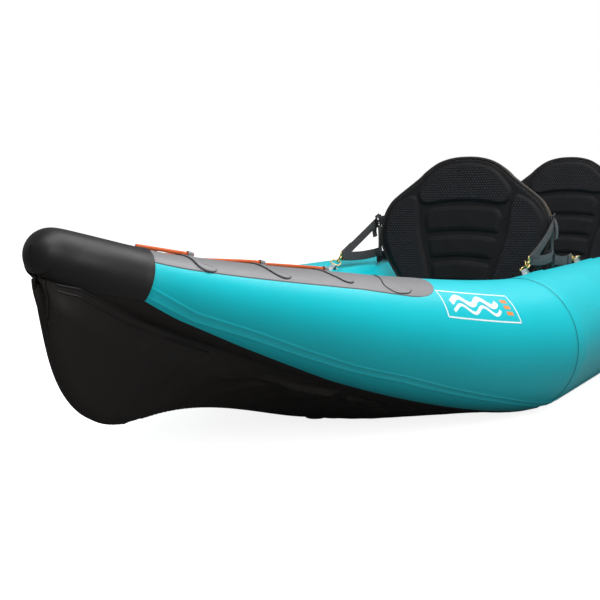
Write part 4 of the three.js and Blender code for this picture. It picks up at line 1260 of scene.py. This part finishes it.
def hook_and_ring(anchor_x, top):
    """Snap hook, swivel eye, D-ring and glued anchor on the port tube, drawn towards a strap's upper end."""
    x = np.array(float(anchor_x))
    _, _, forward, _, _ = tube_frame(x)
    up = radial(x, ANCHOR_ANGLE)
    around = np.cross(forward, up)
    foot = tube_point(x, ANCHOR_ANGLE)
    clear = foot + up * 0.0165
    pull = unit(top - clear)
    across = unit(around - (around @ pull) * pull)
    face = np.cross(pull, across)
    ring_centre = clear + pull * 0.012
    ring_line = rounded([(-0.0125, -0.0125), (-0.0125, 0.0125), (0.008, 0.0125), (0.008, -0.0125)],
                        [0.003, 0.003, 0.008, 0.008], 8)
    ring_points = ring_centre + ring_line[:, :1] * pull + ring_line[:, 1:] * across
    ring = sweep(ring_points, circle(0.0018, 10), side=np.tile(face, (len(ring_points), 1)), closed=True)

    hook_centre = ring_centre + pull * 0.0135
    bend = np.radians(np.linspace(0, -245, 26))
    crook_line = hook_centre + 0.0068 * (np.cos(bend)[:, None] * pull + np.sin(bend)[:, None] * face)
    swell = 1 + 0.35 * np.sin(np.linspace(0, math.pi, 26))
    crook = sweep(crook_line, circle(0.0017, 12), side=np.tile(across, (26, 1)), sizes=swell)
    gate_bend = np.radians(np.linspace(118, 8, 10))
    gate_line = hook_centre + 0.0066 * (np.cos(gate_bend)[:, None] * pull + np.sin(gate_bend)[:, None] * face)
    gate = sweep(gate_line, circle(0.0011, 10), side=np.tile(across, (10, 1)))
    trigger = hook_centre + 0.0066 * face + np.linspace(0, 1, 6)[:, None] * face * 0.005
    knob = sweep(trigger, circle(0.0012, 10), side=np.tile(pull, (6, 1)), sizes=[0.8, 0.8, 0.9, 1.3, 1.4, 0.9])
    shank = hook_centre + pull * 0.0066
    barrel = lathe([(0, 0), (0.0026, 0), (0.0032, 0.001), (0.0032, 0.0042), (0.0022, 0.005), (0.0022, 0.006),
                    (0.0036, 0.0068), (0.0036, 0.0088), (0.0028, 0.0098), (0, 0.0098)], 24)
    barrel = barrel.moved(basis(shank, across, face, pull))
    eye_centre = shank + pull * 0.0125
    wide = unit(np.cross(pull, (0, 1.0, 0)))
    half = STRAP_WIDTH / 2 + 0.0022
    eye_line = rounded([(0.0045, half), (0.0045, -half), (-0.0045, -half * 0.55), (-0.0045, half * 0.55)],
                       [0.003, 0.003, 0.004, 0.004], 7)
    eye_points = eye_centre + eye_line[:, :1] * pull + eye_line[:, 1:] * wide
    eye = sweep(eye_points, circle(0.0018, 10), side=np.tile(np.cross(pull, wide), (len(eye_points), 1)), closed=True)

    lengths = np.linspace(-0.033, 0.033, 27)
    angles = np.linspace(-14, 14, 25)
    grid_x, grid_a = np.meshgrid(lengths, angles, indexing="ij")
    edge = np.minimum(0.033 - np.abs(grid_x), (14 - np.abs(grid_a)) * 0.0025)
    corner = np.clip(np.hypot(np.maximum(0, np.abs(grid_x) - 0.023) / 0.010,
                              np.maximum(0, np.abs(grid_a) - 10) / 4), 1, None)
    centred_x, centred_a = grid_x.copy(), grid_a.copy()
    outside = corner > 1
    for values, limit in ((centred_x, 0.023), (centred_a, 10)):
        extra = np.abs(values) - limit
        squeezed = np.sign(values) * (limit + extra / corner)
        values[outside & (extra > 0)] = squeezed[outside & (extra > 0)]
    lift = 0.0004 + 0.0016 * np.sqrt(np.clip(edge / 0.002, 0.02, 1))
    patch = sheet(tube_point(anchor_x + centred_x, ANCHOR_ANGLE + centred_a, lift),
                  tube_point(anchor_x + centred_x, ANCHOR_ANGLE + centred_a, -0.0004))
    bow = np.linspace(0, math.pi, 17)
    line = np.concatenate([[(0.024, 0.0018), (0.012, 0.0022)],
                           np.stack([0.0062 * np.cos(bow), 0.0086 + 0.0074 * np.sin(bow)], 1),
                           [(-0.012, 0.0022), (-0.024, 0.0018)]])
    line = spline(line, 60)
    loop_points = foot + line[:, :1] * forward + line[:, 1:] * up
    loop = sweep(loop_points, rectangle(0.0130, 0.0014, 0.0006), side=np.tile(around, (60, 1)))
    start = eye_centre + pull * 0.0045
    return {"ring": ring, "hook": together(crook, gate, knob, barrel, eye), "patch": patch, "loop": loop,
            "start": start, "pull": pull}


def add_straps(seat):
    """Straps, hooks and anchors on both sides of a seat."""
    hinge = HINGES[f"{seat}_back"]
    dx, dz = hinge.x - HINGES["front_seat_back"].x, hinge.z - HINGES["front_seat_back"].z
    for side, turn in (("port", Matrix.Identity(4)), ("starboard", MIRROR)):

        def add(name, form, look, body, slot, stands_for=(), **more):
            return piece(f"{seat}_{name}_{side}", form.moved(turn), look, body, slot, stands_for, **more)

        for where, anchor, ends in (("front", FRONT_ANCHOR, (UPPER_BUCKLE, LOWER_LOOP)),
                                    ("rear", REAR_ANCHOR, (LOWER_BUCKLE,))):
            tops = [np.array([x + dx, STRAP_SIDE, z + dz]) for x, z in ends]
            rig = hook_and_ring(anchor + dx, tops[0])
            stem = f"{seat}_{where}"
            add(f"{where}_ring", rig["ring"], "brass", "hull", "brass", weld=True)
            add(f"{where}_hook", rig["hook"], "brass", "hull", "brass", f"{stem}_hook_{side}", weld=True)
            add(f"{where}_anchor_patch", rig["patch"], "teal_pvc", "hull", "teal_pvc", f"{stem}_anchor_{side}")
            add(f"{where}_anchor_loop", rig["loop"], "pale_webbing", "hull", "grey_pvc")
            for k, top in enumerate(tops):
                start = rig["start"]
                run = top - start
                length = np.linalg.norm(run)
                ahead = run / length
                bow = np.array([0.0, 0.004, -0.004])
                points = [start, start + ahead * length * 0.3 + bow * 0.8, start + ahead * length * 0.65 + bow, top]
                path, strap = webbing_strip(points)
                wide = unit(np.cross(ahead, (0, 1.0, 0)))
                thin = np.cross(wide, ahead)
                thin = thin if thin[1] > 0 else -thin
                layer = path[:18] + thin * (STRAP_THICKNESS + 0.0002)
                fold = sweep(layer, rectangle(STRAP_WIDTH, STRAP_THICKNESS, 0.0009, 3), side=np.tile(wide, (18, 1)))
                face = path[2:17] + thin * 1.55 * (STRAP_THICKNESS + 0.0002)
                rows = [stitches(face + wide * s * 0.009, thin * 0.0006) for s in (-1, 1)]
                ends_rows = [stitches(np.linspace(face[m] - wide * 0.009, face[m] + wide * 0.009, 8), thin * 0.0006)
                             for m in (0, 14)]
                label = f"{where}_strap" if k == 0 else f"{where}_lower_strap"
                mirror = (1, -1, 1) if side == "starboard" else (1, 1, 1)
                bend = (tuple(start * mirror), tuple(top * mirror), f"{seat}_back")
                add(label, together(strap, fold), "webbing", bend, "webbing", f"{stem}_strap_{side}")
                add(f"{label}_stitching", together(*rows, *ends_rows), "thread", bend, "webbing")
        add_side_fittings(seat, side, add, dx, dz)


def add_side_fittings(seat, side, add, dx, dz):
    """Two buckles, the band between them and the tabs that hold them to the edge of the seat back."""
    body = f"{seat}_back"
    locks = []
    for (x, z), lean in ((UPPER_BUCKLE, 18), (LOWER_BUCKLE, -86)):
        turned = Matrix.Rotation(math.radians(lean), 4, "Y")
        locks.append(ladder_lock().moved(Matrix.Translation((x + dx, STRAP_SIDE - 0.004, z + dz)) @ turned))
    add("buckles", together(*locks), "black_plastic", body, "black_plastic", f"{seat}_buckle_{side}", weld=True)
    for k, (x, z) in enumerate((UPPER_BUCKLE, LOWER_BUCKLE, LOWER_LOOP)):
        outer = np.array([x + dx, STRAP_SIDE - 0.004 if k < 2 else STRAP_SIDE, z + dz])
        inner = outer + (-0.012, -0.018, 0.003)
        _, tab = webbing_strip([inner, (inner + outer) / 2 + (0, 0.003, 0.001), outer], 16)
        add(f"tab_{k + 1}", tab, "webbing", body, "webbing")
    (top_x, top_z), (low_x, low_z) = UPPER_BUCKLE, LOWER_BUCKLE
    heights = np.linspace(top_z - 0.012, low_z + 0.010, 24)
    places = np.interp(heights, (low_z, top_z), (low_x, top_x))
    sway = 0.0015 * np.sin(np.linspace(0, math.pi, 24))
    points = np.column_stack([places + dx, STRAP_SIDE - 0.0055 - sway, heights + dz])
    _, band = webbing_strip(points, 24, 0.020)
    add("side_band", band, "webbing", body, "webbing")
    start = np.array([top_x + dx, STRAP_SIDE, top_z + dz])
    points = [start + (0, 0.001, 0.004), start + (0.004, 0.006, -0.012), start + (0.006, 0.0075, -0.030),
              start + (0.004, 0.006, -0.046)]
    _, tail = webbing_strip(points, 24)
    add("strap_tail", tail, "webbing", body, "webbing")


def swell(made, distance, cap):
    """Puffs a closed pad by a short cloth simulation under pressure, and keeps the shape it settles in."""
    bpy.context.view_layer.objects.active = made
    remesh = made.modifiers.new("even", "REMESH")
    remesh.mode = "VOXEL"
    remesh.voxel_size = distance
    dg = bpy.context.evaluated_depsgraph_get()
    even = bpy.data.meshes.new_from_object(made.evaluated_get(dg))
    made.modifiers.clear()
    made.data = even
    rest = np.array([v.co for v in even.vertices])
    cloth = made.modifiers.new("cloth", "CLOTH")
    cloth.settings.use_pressure = True
    cloth.settings.uniform_pressure_force = 4
    cloth.settings.effector_weights.gravity = 0
    cloth.point_cache.frame_start, cloth.point_cache.frame_end = 1, 20
    for number in range(1, 21):
        bpy.context.scene.frame_set(number)
    dg = bpy.context.evaluated_depsgraph_get()
    puffed = np.array([v.co for v in made.evaluated_get(dg).data.vertices])
    bpy.context.scene.frame_set(1)
    made.modifiers.clear()
    shift = puffed - rest
    size = np.linalg.norm(shift, axis=1, keepdims=True)
    shift *= np.minimum(1, cap / np.maximum(size, 1e-9))
    even.vertices.foreach_set("co", (rest + shift).astype(np.float32).ravel())
    even.update()
    return made


def add_cushion(seat):
    """Padded seat cushion on the floor: a crowned pad with sewn channels across and a welt round its edge."""
    low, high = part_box(f"{seat}_cushion")
    length, width, thickness = high.x - low.x, high.y - low.y, high.z - low.z
    margin = 0.007
    x0, x1, y1 = -length / 2 + margin, length / 2 - margin, width / 2 - margin
    outline = rounded([(x0, -y1), (x1, -y1), (x1, y1), (x0, y1)], [0.020, 0.062, 0.062, 0.020], 10)
    outline = evenly_spaced(np.vstack([outline, outline[:1]]), 160, closed=True)
    form = slab(outline, thickness - 2 * margin, 0.014, 6)
    centre = (low + high) / 2
    made = piece(f"{seat}_cushion_pad", form, "seat_fabric", "hull", "seat_foam", f"{seat}_cushion")
    swell(made, 0.006, 0.010)
    smoother = made.modifiers.new("soft", "SUBSURF")
    smoother.levels = smoother.render_levels = 1
    dg = bpy.context.evaluated_depsgraph_get()
    mesh = bpy.data.meshes.new_from_object(made.evaluated_get(dg))
    made.modifiers.clear()
    made.data = mesh
    points = np.array([v.co for v in mesh.vertices])
    upper = smooth((points[:, 2] + 0.004) / 0.010)
    inner = smooth((y1 - np.abs(points[:, 1])) / 0.05)
    for place in (-0.115, -0.02, 0.075):
        bend = place + 0.025 * (1 - (points[:, 1] / y1) ** 2)
        points[:, 2] -= 0.0075 * np.exp(-((points[:, 0] - bend) / 0.0060) ** 2) * upper * inner
    points[:, 2] -= 0.004 * upper * np.exp(-(points[:, 1] / 0.06) ** 2)
    points = np.clip(points, (-length / 2, -width / 2, -thickness / 2 + 0.0005), (length / 2, width / 2, 1))
    points += np.array(centre)
    mesh.vertices.foreach_set("co", points.astype(np.float32).ravel())
    mesh.materials.clear()
    mesh.materials.append(LOOKS["seat_fabric"])
    mesh.polygons.foreach_set("use_smooth", [True] * len(mesh.polygons))
    mesh.update()
    for label, height in (("upper", 0.34), ("lower", -0.30)):
        line = np.column_stack([inset(outline, -0.0052), np.full(len(outline), height * thickness)]) + np.array(centre)
        welt = sweep(line, circle(0.0024, 10), closed=True)
        piece(f"{seat}_cushion_{label}_welt", welt, "seat_binding", "hull", "seat_shell", weld=True)


def add_hinge_flap(seat):
    """Fabric that joins the cushion to the folding back."""
    hinge = HINGES[f"{seat}_back"]
    low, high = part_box(f"{seat}_cushion")
    points = [np.array([low.x + 0.035, 0, high.z + 0.0015]), np.array([low.x + 0.008, 0, high.z + 0.0025]),
              np.array([hinge.x + 0.0165, 0, high.z + 0.009]), np.array([hinge.x + 0.0115, 0, hinge.z + 0.034])]
    line = spline(points, 26)
    y = np.linspace(-0.112, 0.112, 41)
    ripple = 0.0008 * np.sin(y * 130)[None, :] * smooth(np.sin(np.linspace(0, math.pi, 26)))[:, None]
    outer = np.stack([np.broadcast_to(line[:, :1], (26, 41)), np.broadcast_to(y, (26, 41)),
                      line[:, 2:] + ripple], -1)
    inner = outer - np.array([0.001, 0, 0.0012])
    piece(f"{seat}_hinge_flap", sheet(outer, inner), "seat_fabric",
          (tuple(points[1]), tuple(points[3]), f"{seat}_back"), "seat_shell")


# ------------------------------------------------------------------ fittings


def toggle_form():
    """Carry toggle: an eye round its pin, a doubled strap and a ribbed grip, hanging aft of the bow pin."""
    turn = np.radians(np.linspace(-150, 150, 30))
    loop = np.stack([0.0058 * np.cos(turn), 0 * turn, 0.0058 * np.sin(turn)], 1)
    tail_x = np.linspace(-0.012, -TOGGLE_REACH, 24)
    upper = np.stack([tail_x, 0 * tail_x, np.full(24, 0.0013)], 1)
    line = np.vstack([(upper * (1, 1, -1))[::-1], loop, upper])
    strap = sweep(line, rectangle(0.0125, 0.0022, 0.0008), side=np.tile([0, 1.0, 0], (len(line), 1)))
    profile = [(0, -0.030), (0.006, -0.030), (0.0085, -0.0275)]
    for k in range(6):
        at = -0.0235 + k * 0.008
        profile += [(0.0092, at), (0.0092, at + 0.003), (0.0078, at + 0.0045), (0.0078, at + 0.0055)]
    profile += [(0.0085, 0.0275), (0.006, 0.030), (0, 0.030)]
    place = Matrix.Translation(TOGGLE_PIN)
    grip = lathe(profile, 32).moved(Matrix.Translation((-TOGGLE_REACH, 0, 0)) @ Matrix.Rotation(math.pi / 2, 4, "X"))
    return strap.moved(place), grip.moved(place)


def toggle_pins():
    """Two lugs under the nose cover's roof and the headed pin between them."""
    across = Matrix.Rotation(math.pi / 2, 4, "X")
    plate = slab(rectangle(0.016, 0.021, 0.005, 6), 0.004, 0.0011, 3)
    lugs = [plate.moved(Matrix.Translation((0.0015, side * 0.0095, 0.007)) @ across) for side in (1, -1)]
    pin = lathe([(0, -0.0128), (0.0048, -0.0128), (0.0048, -0.0118), (0.0034, -0.0114), (0.0034, 0.0114),
                 (0.0048, 0.0118), (0.0048, 0.0128), (0, 0.0128)], 24)
    return together(*lugs, pin.moved(across)).moved(Matrix.Translation(TOGGLE_PIN))


def add_valve(name):
    """Push valve with a knurled twist cap, standing where the frame's parts stand."""
    low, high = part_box(f"{name}_body")
    if name == "floor_valve":
        axis, foot = Vector((0, 0, 1)), Vector(((low.x + high.x) / 2, 0, low.z - 0.0002))
    else:
        side = 1 if name.startswith("port") else -1
        x, angle = (low.x + high.x) / 2, 140
        up, at = radial(np.array(x), angle), tube_point(x, angle, 0.0003)
        axis, foot = Vector((up[0], up[1] * side, up[2])), Vector((at[0], at[1] * side, at[2]))
    place = Matrix.Translation(foot) @ axis.to_track_quat("Z", "Y").to_matrix().to_4x4()
    base = lathe([(0.009, 0.0002), (0.030, 0.0002), (0.0315, 0.0008), (0.031, 0.0022), (0.027, 0.0036),
                  (0.0225, 0.0042), (0.0195, 0.0048), (0.019, 0.0055), (0.019, 0.0115), (0.0185, 0.012),
                  (0.0145, 0.012), (0.014, 0.0115), (0.014, 0.0034), (0.0135, 0.003), (0.009, 0.003),
                  (0.009, 0.0002)], 64)
    piece(f"{name}_base", base.moved(place), "grey_plastic", "hull", "grey_plastic", f"{name}_body", weld=True)
    stem = lathe([(0, 0.004), (0.0038, 0.004), (0.004, 0.0045), (0.004, 0.007), (0.0078, 0.007), (0.008, 0.0074),
                  (0.008, 0.0086), (0.0076, 0.009), (0.0032, 0.0096), (0.0022, 0.010), (0, 0.010)], 32)
    piece(f"{name}_stem", stem.moved(place), "grey_plastic", f"{name}_plunger", "grey_plastic", f"{name}_plunger",
          weld=True)
    shell = lathe([(0, 0.014), (0.0195, 0.014), (0.020, 0.0135), (0.020, 0.006), (0.0222, 0.006), (0.0225, 0.0064),
                   (0.0225, 0.0148), (0.0218, 0.0162), (0.0205, 0.017), (0.017, 0.0172), (0.0165, 0.0162),
                   (0, 0.0162)], 64)
    ribs = []
    for turn in np.linspace(0, 2 * math.pi, 24, endpoint=False):
        line = np.array([(0.0225 * math.cos(turn), 0.0225 * math.sin(turn), h) for h in np.linspace(0.0075, 0.0145, 5)])
        ribs.append(sweep(line, circle(0.0006, 6), sizes=[0.3, 0.9, 1, 0.9, 0.3]))
    key = slab(rectangle(0.034, 0.005, 0.0024, 6), 0.0056, 0.0012, 4).moved(Matrix.Translation((0, 0, 0.0186)))
    piece(f"{name}_lid", together(shell, *ribs, key).moved(place), "grey_plastic", f"{name}_cap", "grey_plastic",
          f"{name}_cap", weld=True)


def add_drain_plug():
    low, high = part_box("drain_plug")
    place = Matrix.Translation(((low.x + high.x) / 2, 0, low.z + 0.005))
    plug = lathe([(0, -0.005), (0.0125, -0.005), (0.0152, -0.0044), (0.016, -0.003), (0.016, -0.0005),
                  (0.0155, 0), (0.009, 0), (0.0086, 0.002), (0.009, 0.003), (0.0086, 0.005), (0.0088, 0.0072),
                  (0.008, 0.008), (0, 0.008)], 48)
    rim = lathe([(0.0168, -0.0030), (0.0205, -0.0034), (0.0215, -0.0026), (0.0215, 0.0004), (0.0168, 0.0004),
                 (0.0168, -0.0030)], 48)
    piece("drain_stopper", plug.moved(place), "black_plastic", "drain_plug", "black_plastic", "drain_plug", weld=True)
    piece("drain_rim", rim.moved(place), "black_plastic", "hull", "black_plastic", weld=True)


# ------------------------------------------------------------------ generic mark


def tube_decal(outline, lift=0.0008):
    """Thin printed shape on the port tube: an outline in (x, angle)."""
    ring = np.asarray(outline, float)
    centre = ring.mean(0)
    shares = np.linspace(0, 1, 5)[1:]
    rings = [centre + (ring - centre) * s for s in shares]
    outer = np.array([tube_point(r[:, 0], r[:, 1], lift) for r in rings])
    inner = np.array([tube_point(r[:, 0], r[:, 1], 0.0002) for r in rings])
    return loft(np.concatenate([outer, inner[::-1]]))


def band_decal(line, width, lift=0.0008):
    """Thin printed line on the port tube through (x, angle) points."""
    line = np.asarray(line, float)
    centre = tube_point(line[:, 0], line[:, 1])
    up = radial(line[:, 0], line[:, 1])
    side = unit(np.cross(up, unit(np.gradient(centre, axis=0)))) * width / 2
    outer = np.stack([centre - side + up * lift, centre + side + up * lift], 1)
    inner = np.stack([centre - side + up * 0.0002, centre + side + up * 0.0002], 1)
    return sheet(outer, inner)


def mark_forms():
    """A plain mark in a slanting frame: two wave lines and three small bars."""
    corners = np.array([(1.192, 55.5), (0.992, 52.5), (0.987, 24.5), (1.192, 25.0)])
    sides = zip(corners, np.roll(corners, -1, 0))
    frame_lines = [band_decal(np.linspace(a, b, 30), 0.0030) for a, b in sides]

    def inside(u, v):
        """Point in the frame, u going aft and v going down."""
        top = corners[0] + (corners[1] - corners[0]) * u
        foot = corners[3] + (corners[2] - corners[3]) * u
        return top + (foot - top) * v

    waves = []
    for height, width in ((0.36, 0.0125), (0.66, 0.0070)):
        u = np.linspace(0.10, 0.76, 70)
        points = np.array([inside(a, height + 0.13 * math.sin(a * 21.0)) for a in u])
        waves.append(band_decal(points, width))
    bars = []
    for k in range(3):
        v0 = 0.20 + 0.22 * k
        quad = [inside(0.84, v0), inside(0.93, v0), inside(0.93, v0 + 0.13), inside(0.84, v0 + 0.13)]
        quad = np.vstack([np.linspace(a, b, 6)[:-1] for a, b in zip(quad, quad[1:] + quad[:1])])
        bars.append(tube_decal(quad))
    return together(*frame_lines, *waves), together(*bars)


# ------------------------------------------------------------------ assembly


tube = port_tube()
piece("port_tube_skin", tube, "teal_pvc", "hull", "teal_pvc", "port_tube")
piece("starboard_tube_skin", tube.moved(MIRROR), "teal_pvc", "hull", "teal_pvc", "starboard_tube")
tape = seam_tape_form()
piece("port_seam_tape", tape, "seam_tape", "hull", "teal_pvc")
piece("starboard_seam_tape", tape.moved(MIRROR), "seam_tape", "hull", "teal_pvc")
rings = ring_lines()
piece("port_ring_lines", rings, "painted_seam_shade", "hull", "teal_pvc")
piece("starboard_ring_lines", rings.moved(MIRROR), "painted_seam_shade", "hull", "teal_pvc")
piece("hull_skin", bottom_skin(), "black_tarpaulin", "hull", "black_tarpaulin", "bottom_skin", sharp=60)
piece("floor_mat", floor_form(), "floor_pvc", "hull", "floor_pvc", "inflatable_floor", sharp=60)

white, orange = mark_forms()
for side, turn in (("port", Matrix.Identity(4)), ("starboard", HALF_TURN)):
    piece(f"{side}_mark", white.moved(turn), "white_ink", "hull", "teal_pvc", sharp=60)
    piece(f"{side}_mark_bars", orange.moved(turn), "orange_ink", "hull", "teal_pvc", sharp=60)

panel, cover, welts, strip = keel_panel(), nose_cover(), crease_welts(), crest_strip()
bungee_path = bungee_form()
strap, grip = toggle_form()
pins = toggle_pins()
bands = together(*[loop_band(p, t, 0.0118, 0.0016, 0.0026) for p, t in zip(LOOPS, LOOP_TAILS)])
# Wider, lower copies of the loop leaves and the strip's fold, drawn near-black: painted shadow lines along their lower
# edges.
band_shadow_lines = [loop_band(p, t, 0.0158, 0.0009, 0.0022) for p, t in zip(LOOPS, LOOP_TAILS)]
band_shadow_lines = together(*band_shadow_lines, strip_fold())
arches = together(*[arch(x, angle) for x, angle in LOOPS])
for end, turn in (("bow", Matrix.Identity(4)), ("stern", HALF_TURN)):
    piece(f"{end}_stem_panel", panel.moved(turn), "panel_rubber", "hull", "black_rubber", f"{end}_keel_panel", sharp=60)
    piece(f"{end}_nose_cap", cover.moved(turn), "black_rubber", "hull", "black_rubber", f"{end}_nose_cover", weld=True,
          sharp=60)
    for side, mirror in (("port", Matrix.Identity(4)), ("starboard", MIRROR)):
        place = turn @ mirror
        node_side = side if end == "bow" else {"port": "starboard", "starboard": "port"}[side]
        piece(f"{end}_welts_{node_side}", welts.moved(place), "black_rubber", "hull", "black_rubber")
        piece(f"{end}_strip_{node_side}", strip.moved(place), "grey_pvc", "hull", "grey_pvc",
              f"{end}_crest_strip_{node_side}", sharp=60)
        piece(f"{end}_loop_bands_{node_side}", bands.moved(place), "grey_pvc", "hull", "grey_pvc")
        # Painted shadow lines under the loop leaves and along the strip's fold.
        piece(f"{end}_loop_shadow_lines_{node_side}", band_shadow_lines.moved(place), "painted_loop_shadow", "hull", "grey_pvc")
        piece(f"{end}_loop_arches_{node_side}", arches.moved(place), "grey_pvc", "hull", "grey_pvc")
    piece(f"{end}_bungee_cord", bungee_path.moved(turn), "bungee_cord", "hull", "bungee", f"{end}_bungee")
    piece(f"{end}_toggle_pins", pins.moved(turn), "black_plastic", "hull", "black_plastic", weld=True)
    piece(f"{end}_toggle_strap", strap.moved(turn), "webbing", f"{end}_toggle", "webbing", f"{end}_carry_toggle")
    piece(f"{end}_toggle_grip", grip.moved(turn), "black_plastic", f"{end}_toggle", "black_plastic", weld=True)

face = seat_front()
for seat in SEATS:
    add_seat_back(seat, face)
    add_straps(seat)
    add_cushion(seat)
    add_hinge_flap(seat)

for valve in ("port_tube_valve", "starboard_tube_valve", "floor_valve"):
    add_valve(valve)
add_drain_plug()

# ------------------------------------------------------------------ stage, light and camera


WORLD_LIGHT = 0.26


def backdrop_material(name):
    """Pale sweep: it glows a little towards the camera and is a mid grey source of bounced light."""
    look = Look(name)
    seen = look.node("LightPath").outputs["Is Camera Ray"]
    grain = look.ramp(look.noise(0.5, 3.0), 0.3, 0.7, 0.985, 1.0)
    pale = look.mix(grain, srgb(236, 236, 236), srgb(250, 250, 250))
    look.set(Base_Color=look.mix(seen, srgb(124, 124, 124), pale), Roughness=0.9, Specular_IOR_Level=0.0)
    look.set(Emission_Color=(1, 1, 1, 1), Emission_Strength=look.math("MULTIPLY", seen, 0.86))
    return look.material


def add_stage():
    mesh = bpy.data.meshes.new("studio_floor")
    reach = 60.0
    corners = [(-reach, -reach, 0), (reach, -reach, 0), (reach, reach, 0), (-reach, reach, 0)]
    mesh.from_pydata(corners, [], [(0, 1, 2, 3)])
    mesh.materials.append(backdrop_material("studio_floor"))
    floor = bpy.data.objects.new("studio_floor", mesh)
    floor.location.z = cad_box[0].z - 0.004
    bpy.context.scene.collection.objects.link(floor)


def add_light(name, place, aim, width, height, power):
    data = bpy.data.lights.new(name, "AREA")
    data.shape = "RECTANGLE"
    data.size, data.size_y, data.energy = width, height, power
    lamp = bpy.data.objects.new(name, data)
    lamp.location = place
    lamp.rotation_mode = "QUATERNION"
    lamp.rotation_quaternion = (Vector(aim) - Vector(place)).to_track_quat("-Z", "Y")
    bpy.context.scene.collection.objects.link(lamp)


def add_world():
    """White to the camera, and a dim even light on the object."""
    world = bpy.data.worlds.new("studio")
    bpy.context.scene.world = world
    world.use_nodes = True
    tree = world.node_tree
    tree.nodes.clear()
    out = tree.nodes.new("ShaderNodeOutputWorld")
    rays = tree.nodes.new("ShaderNodeLightPath")
    mix = tree.nodes.new("ShaderNodeMixShader")
    for slot, strength in ((1, WORLD_LIGHT), (2, 1.0)):
        shine = tree.nodes.new("ShaderNodeBackground")
        shine.inputs[0].default_value = (1, 1, 1, 1)
        shine.inputs[1].default_value = strength
        tree.links.new(shine.outputs[0], mix.inputs[slot])
    tree.links.new(rays.outputs["Is Camera Ray"], mix.inputs[0])
    tree.links.new(mix.outputs[0], out.inputs[0])


def add_camera():
    """Standing off the port bow, a little above the tubes, looking aft across the hull."""
    place = Vector((2.920, 1.049, 0.487))
    yaw, pitch, roll = math.radians(31.04), math.radians(6.13), math.radians(-0.78)
    ahead = Vector((-math.cos(yaw) * math.cos(pitch), -math.sin(yaw) * math.cos(pitch), -math.sin(pitch)))
    level = Vector((-math.sin(yaw), math.cos(yaw), 0))
    right = level * math.cos(roll) + level.cross(ahead) * math.sin(roll)
    data = bpy.data.cameras.new("camera")
    data.lens, data.sensor_width = 60.0, 36.0
    camera = bpy.data.objects.new("camera", data)
    camera.matrix_world = basis(place, right, right.cross(ahead), -ahead)
    bpy.context.scene.collection.objects.link(camera)
    bpy.context.scene.camera = camera


add_stage()
add_world()
add_camera()
add_light("overhead", (0.6, 0.9, 2.9), (0.6, 0.1, 0.2), 5.5, 1.8, 150)
add_light("camera_side", (3.4, 3.0, 1.9), (1.1, 0.2, 0.25), 2.4, 1.6, 45)
bpy.context.scene.view_settings.view_transform = "Standard"
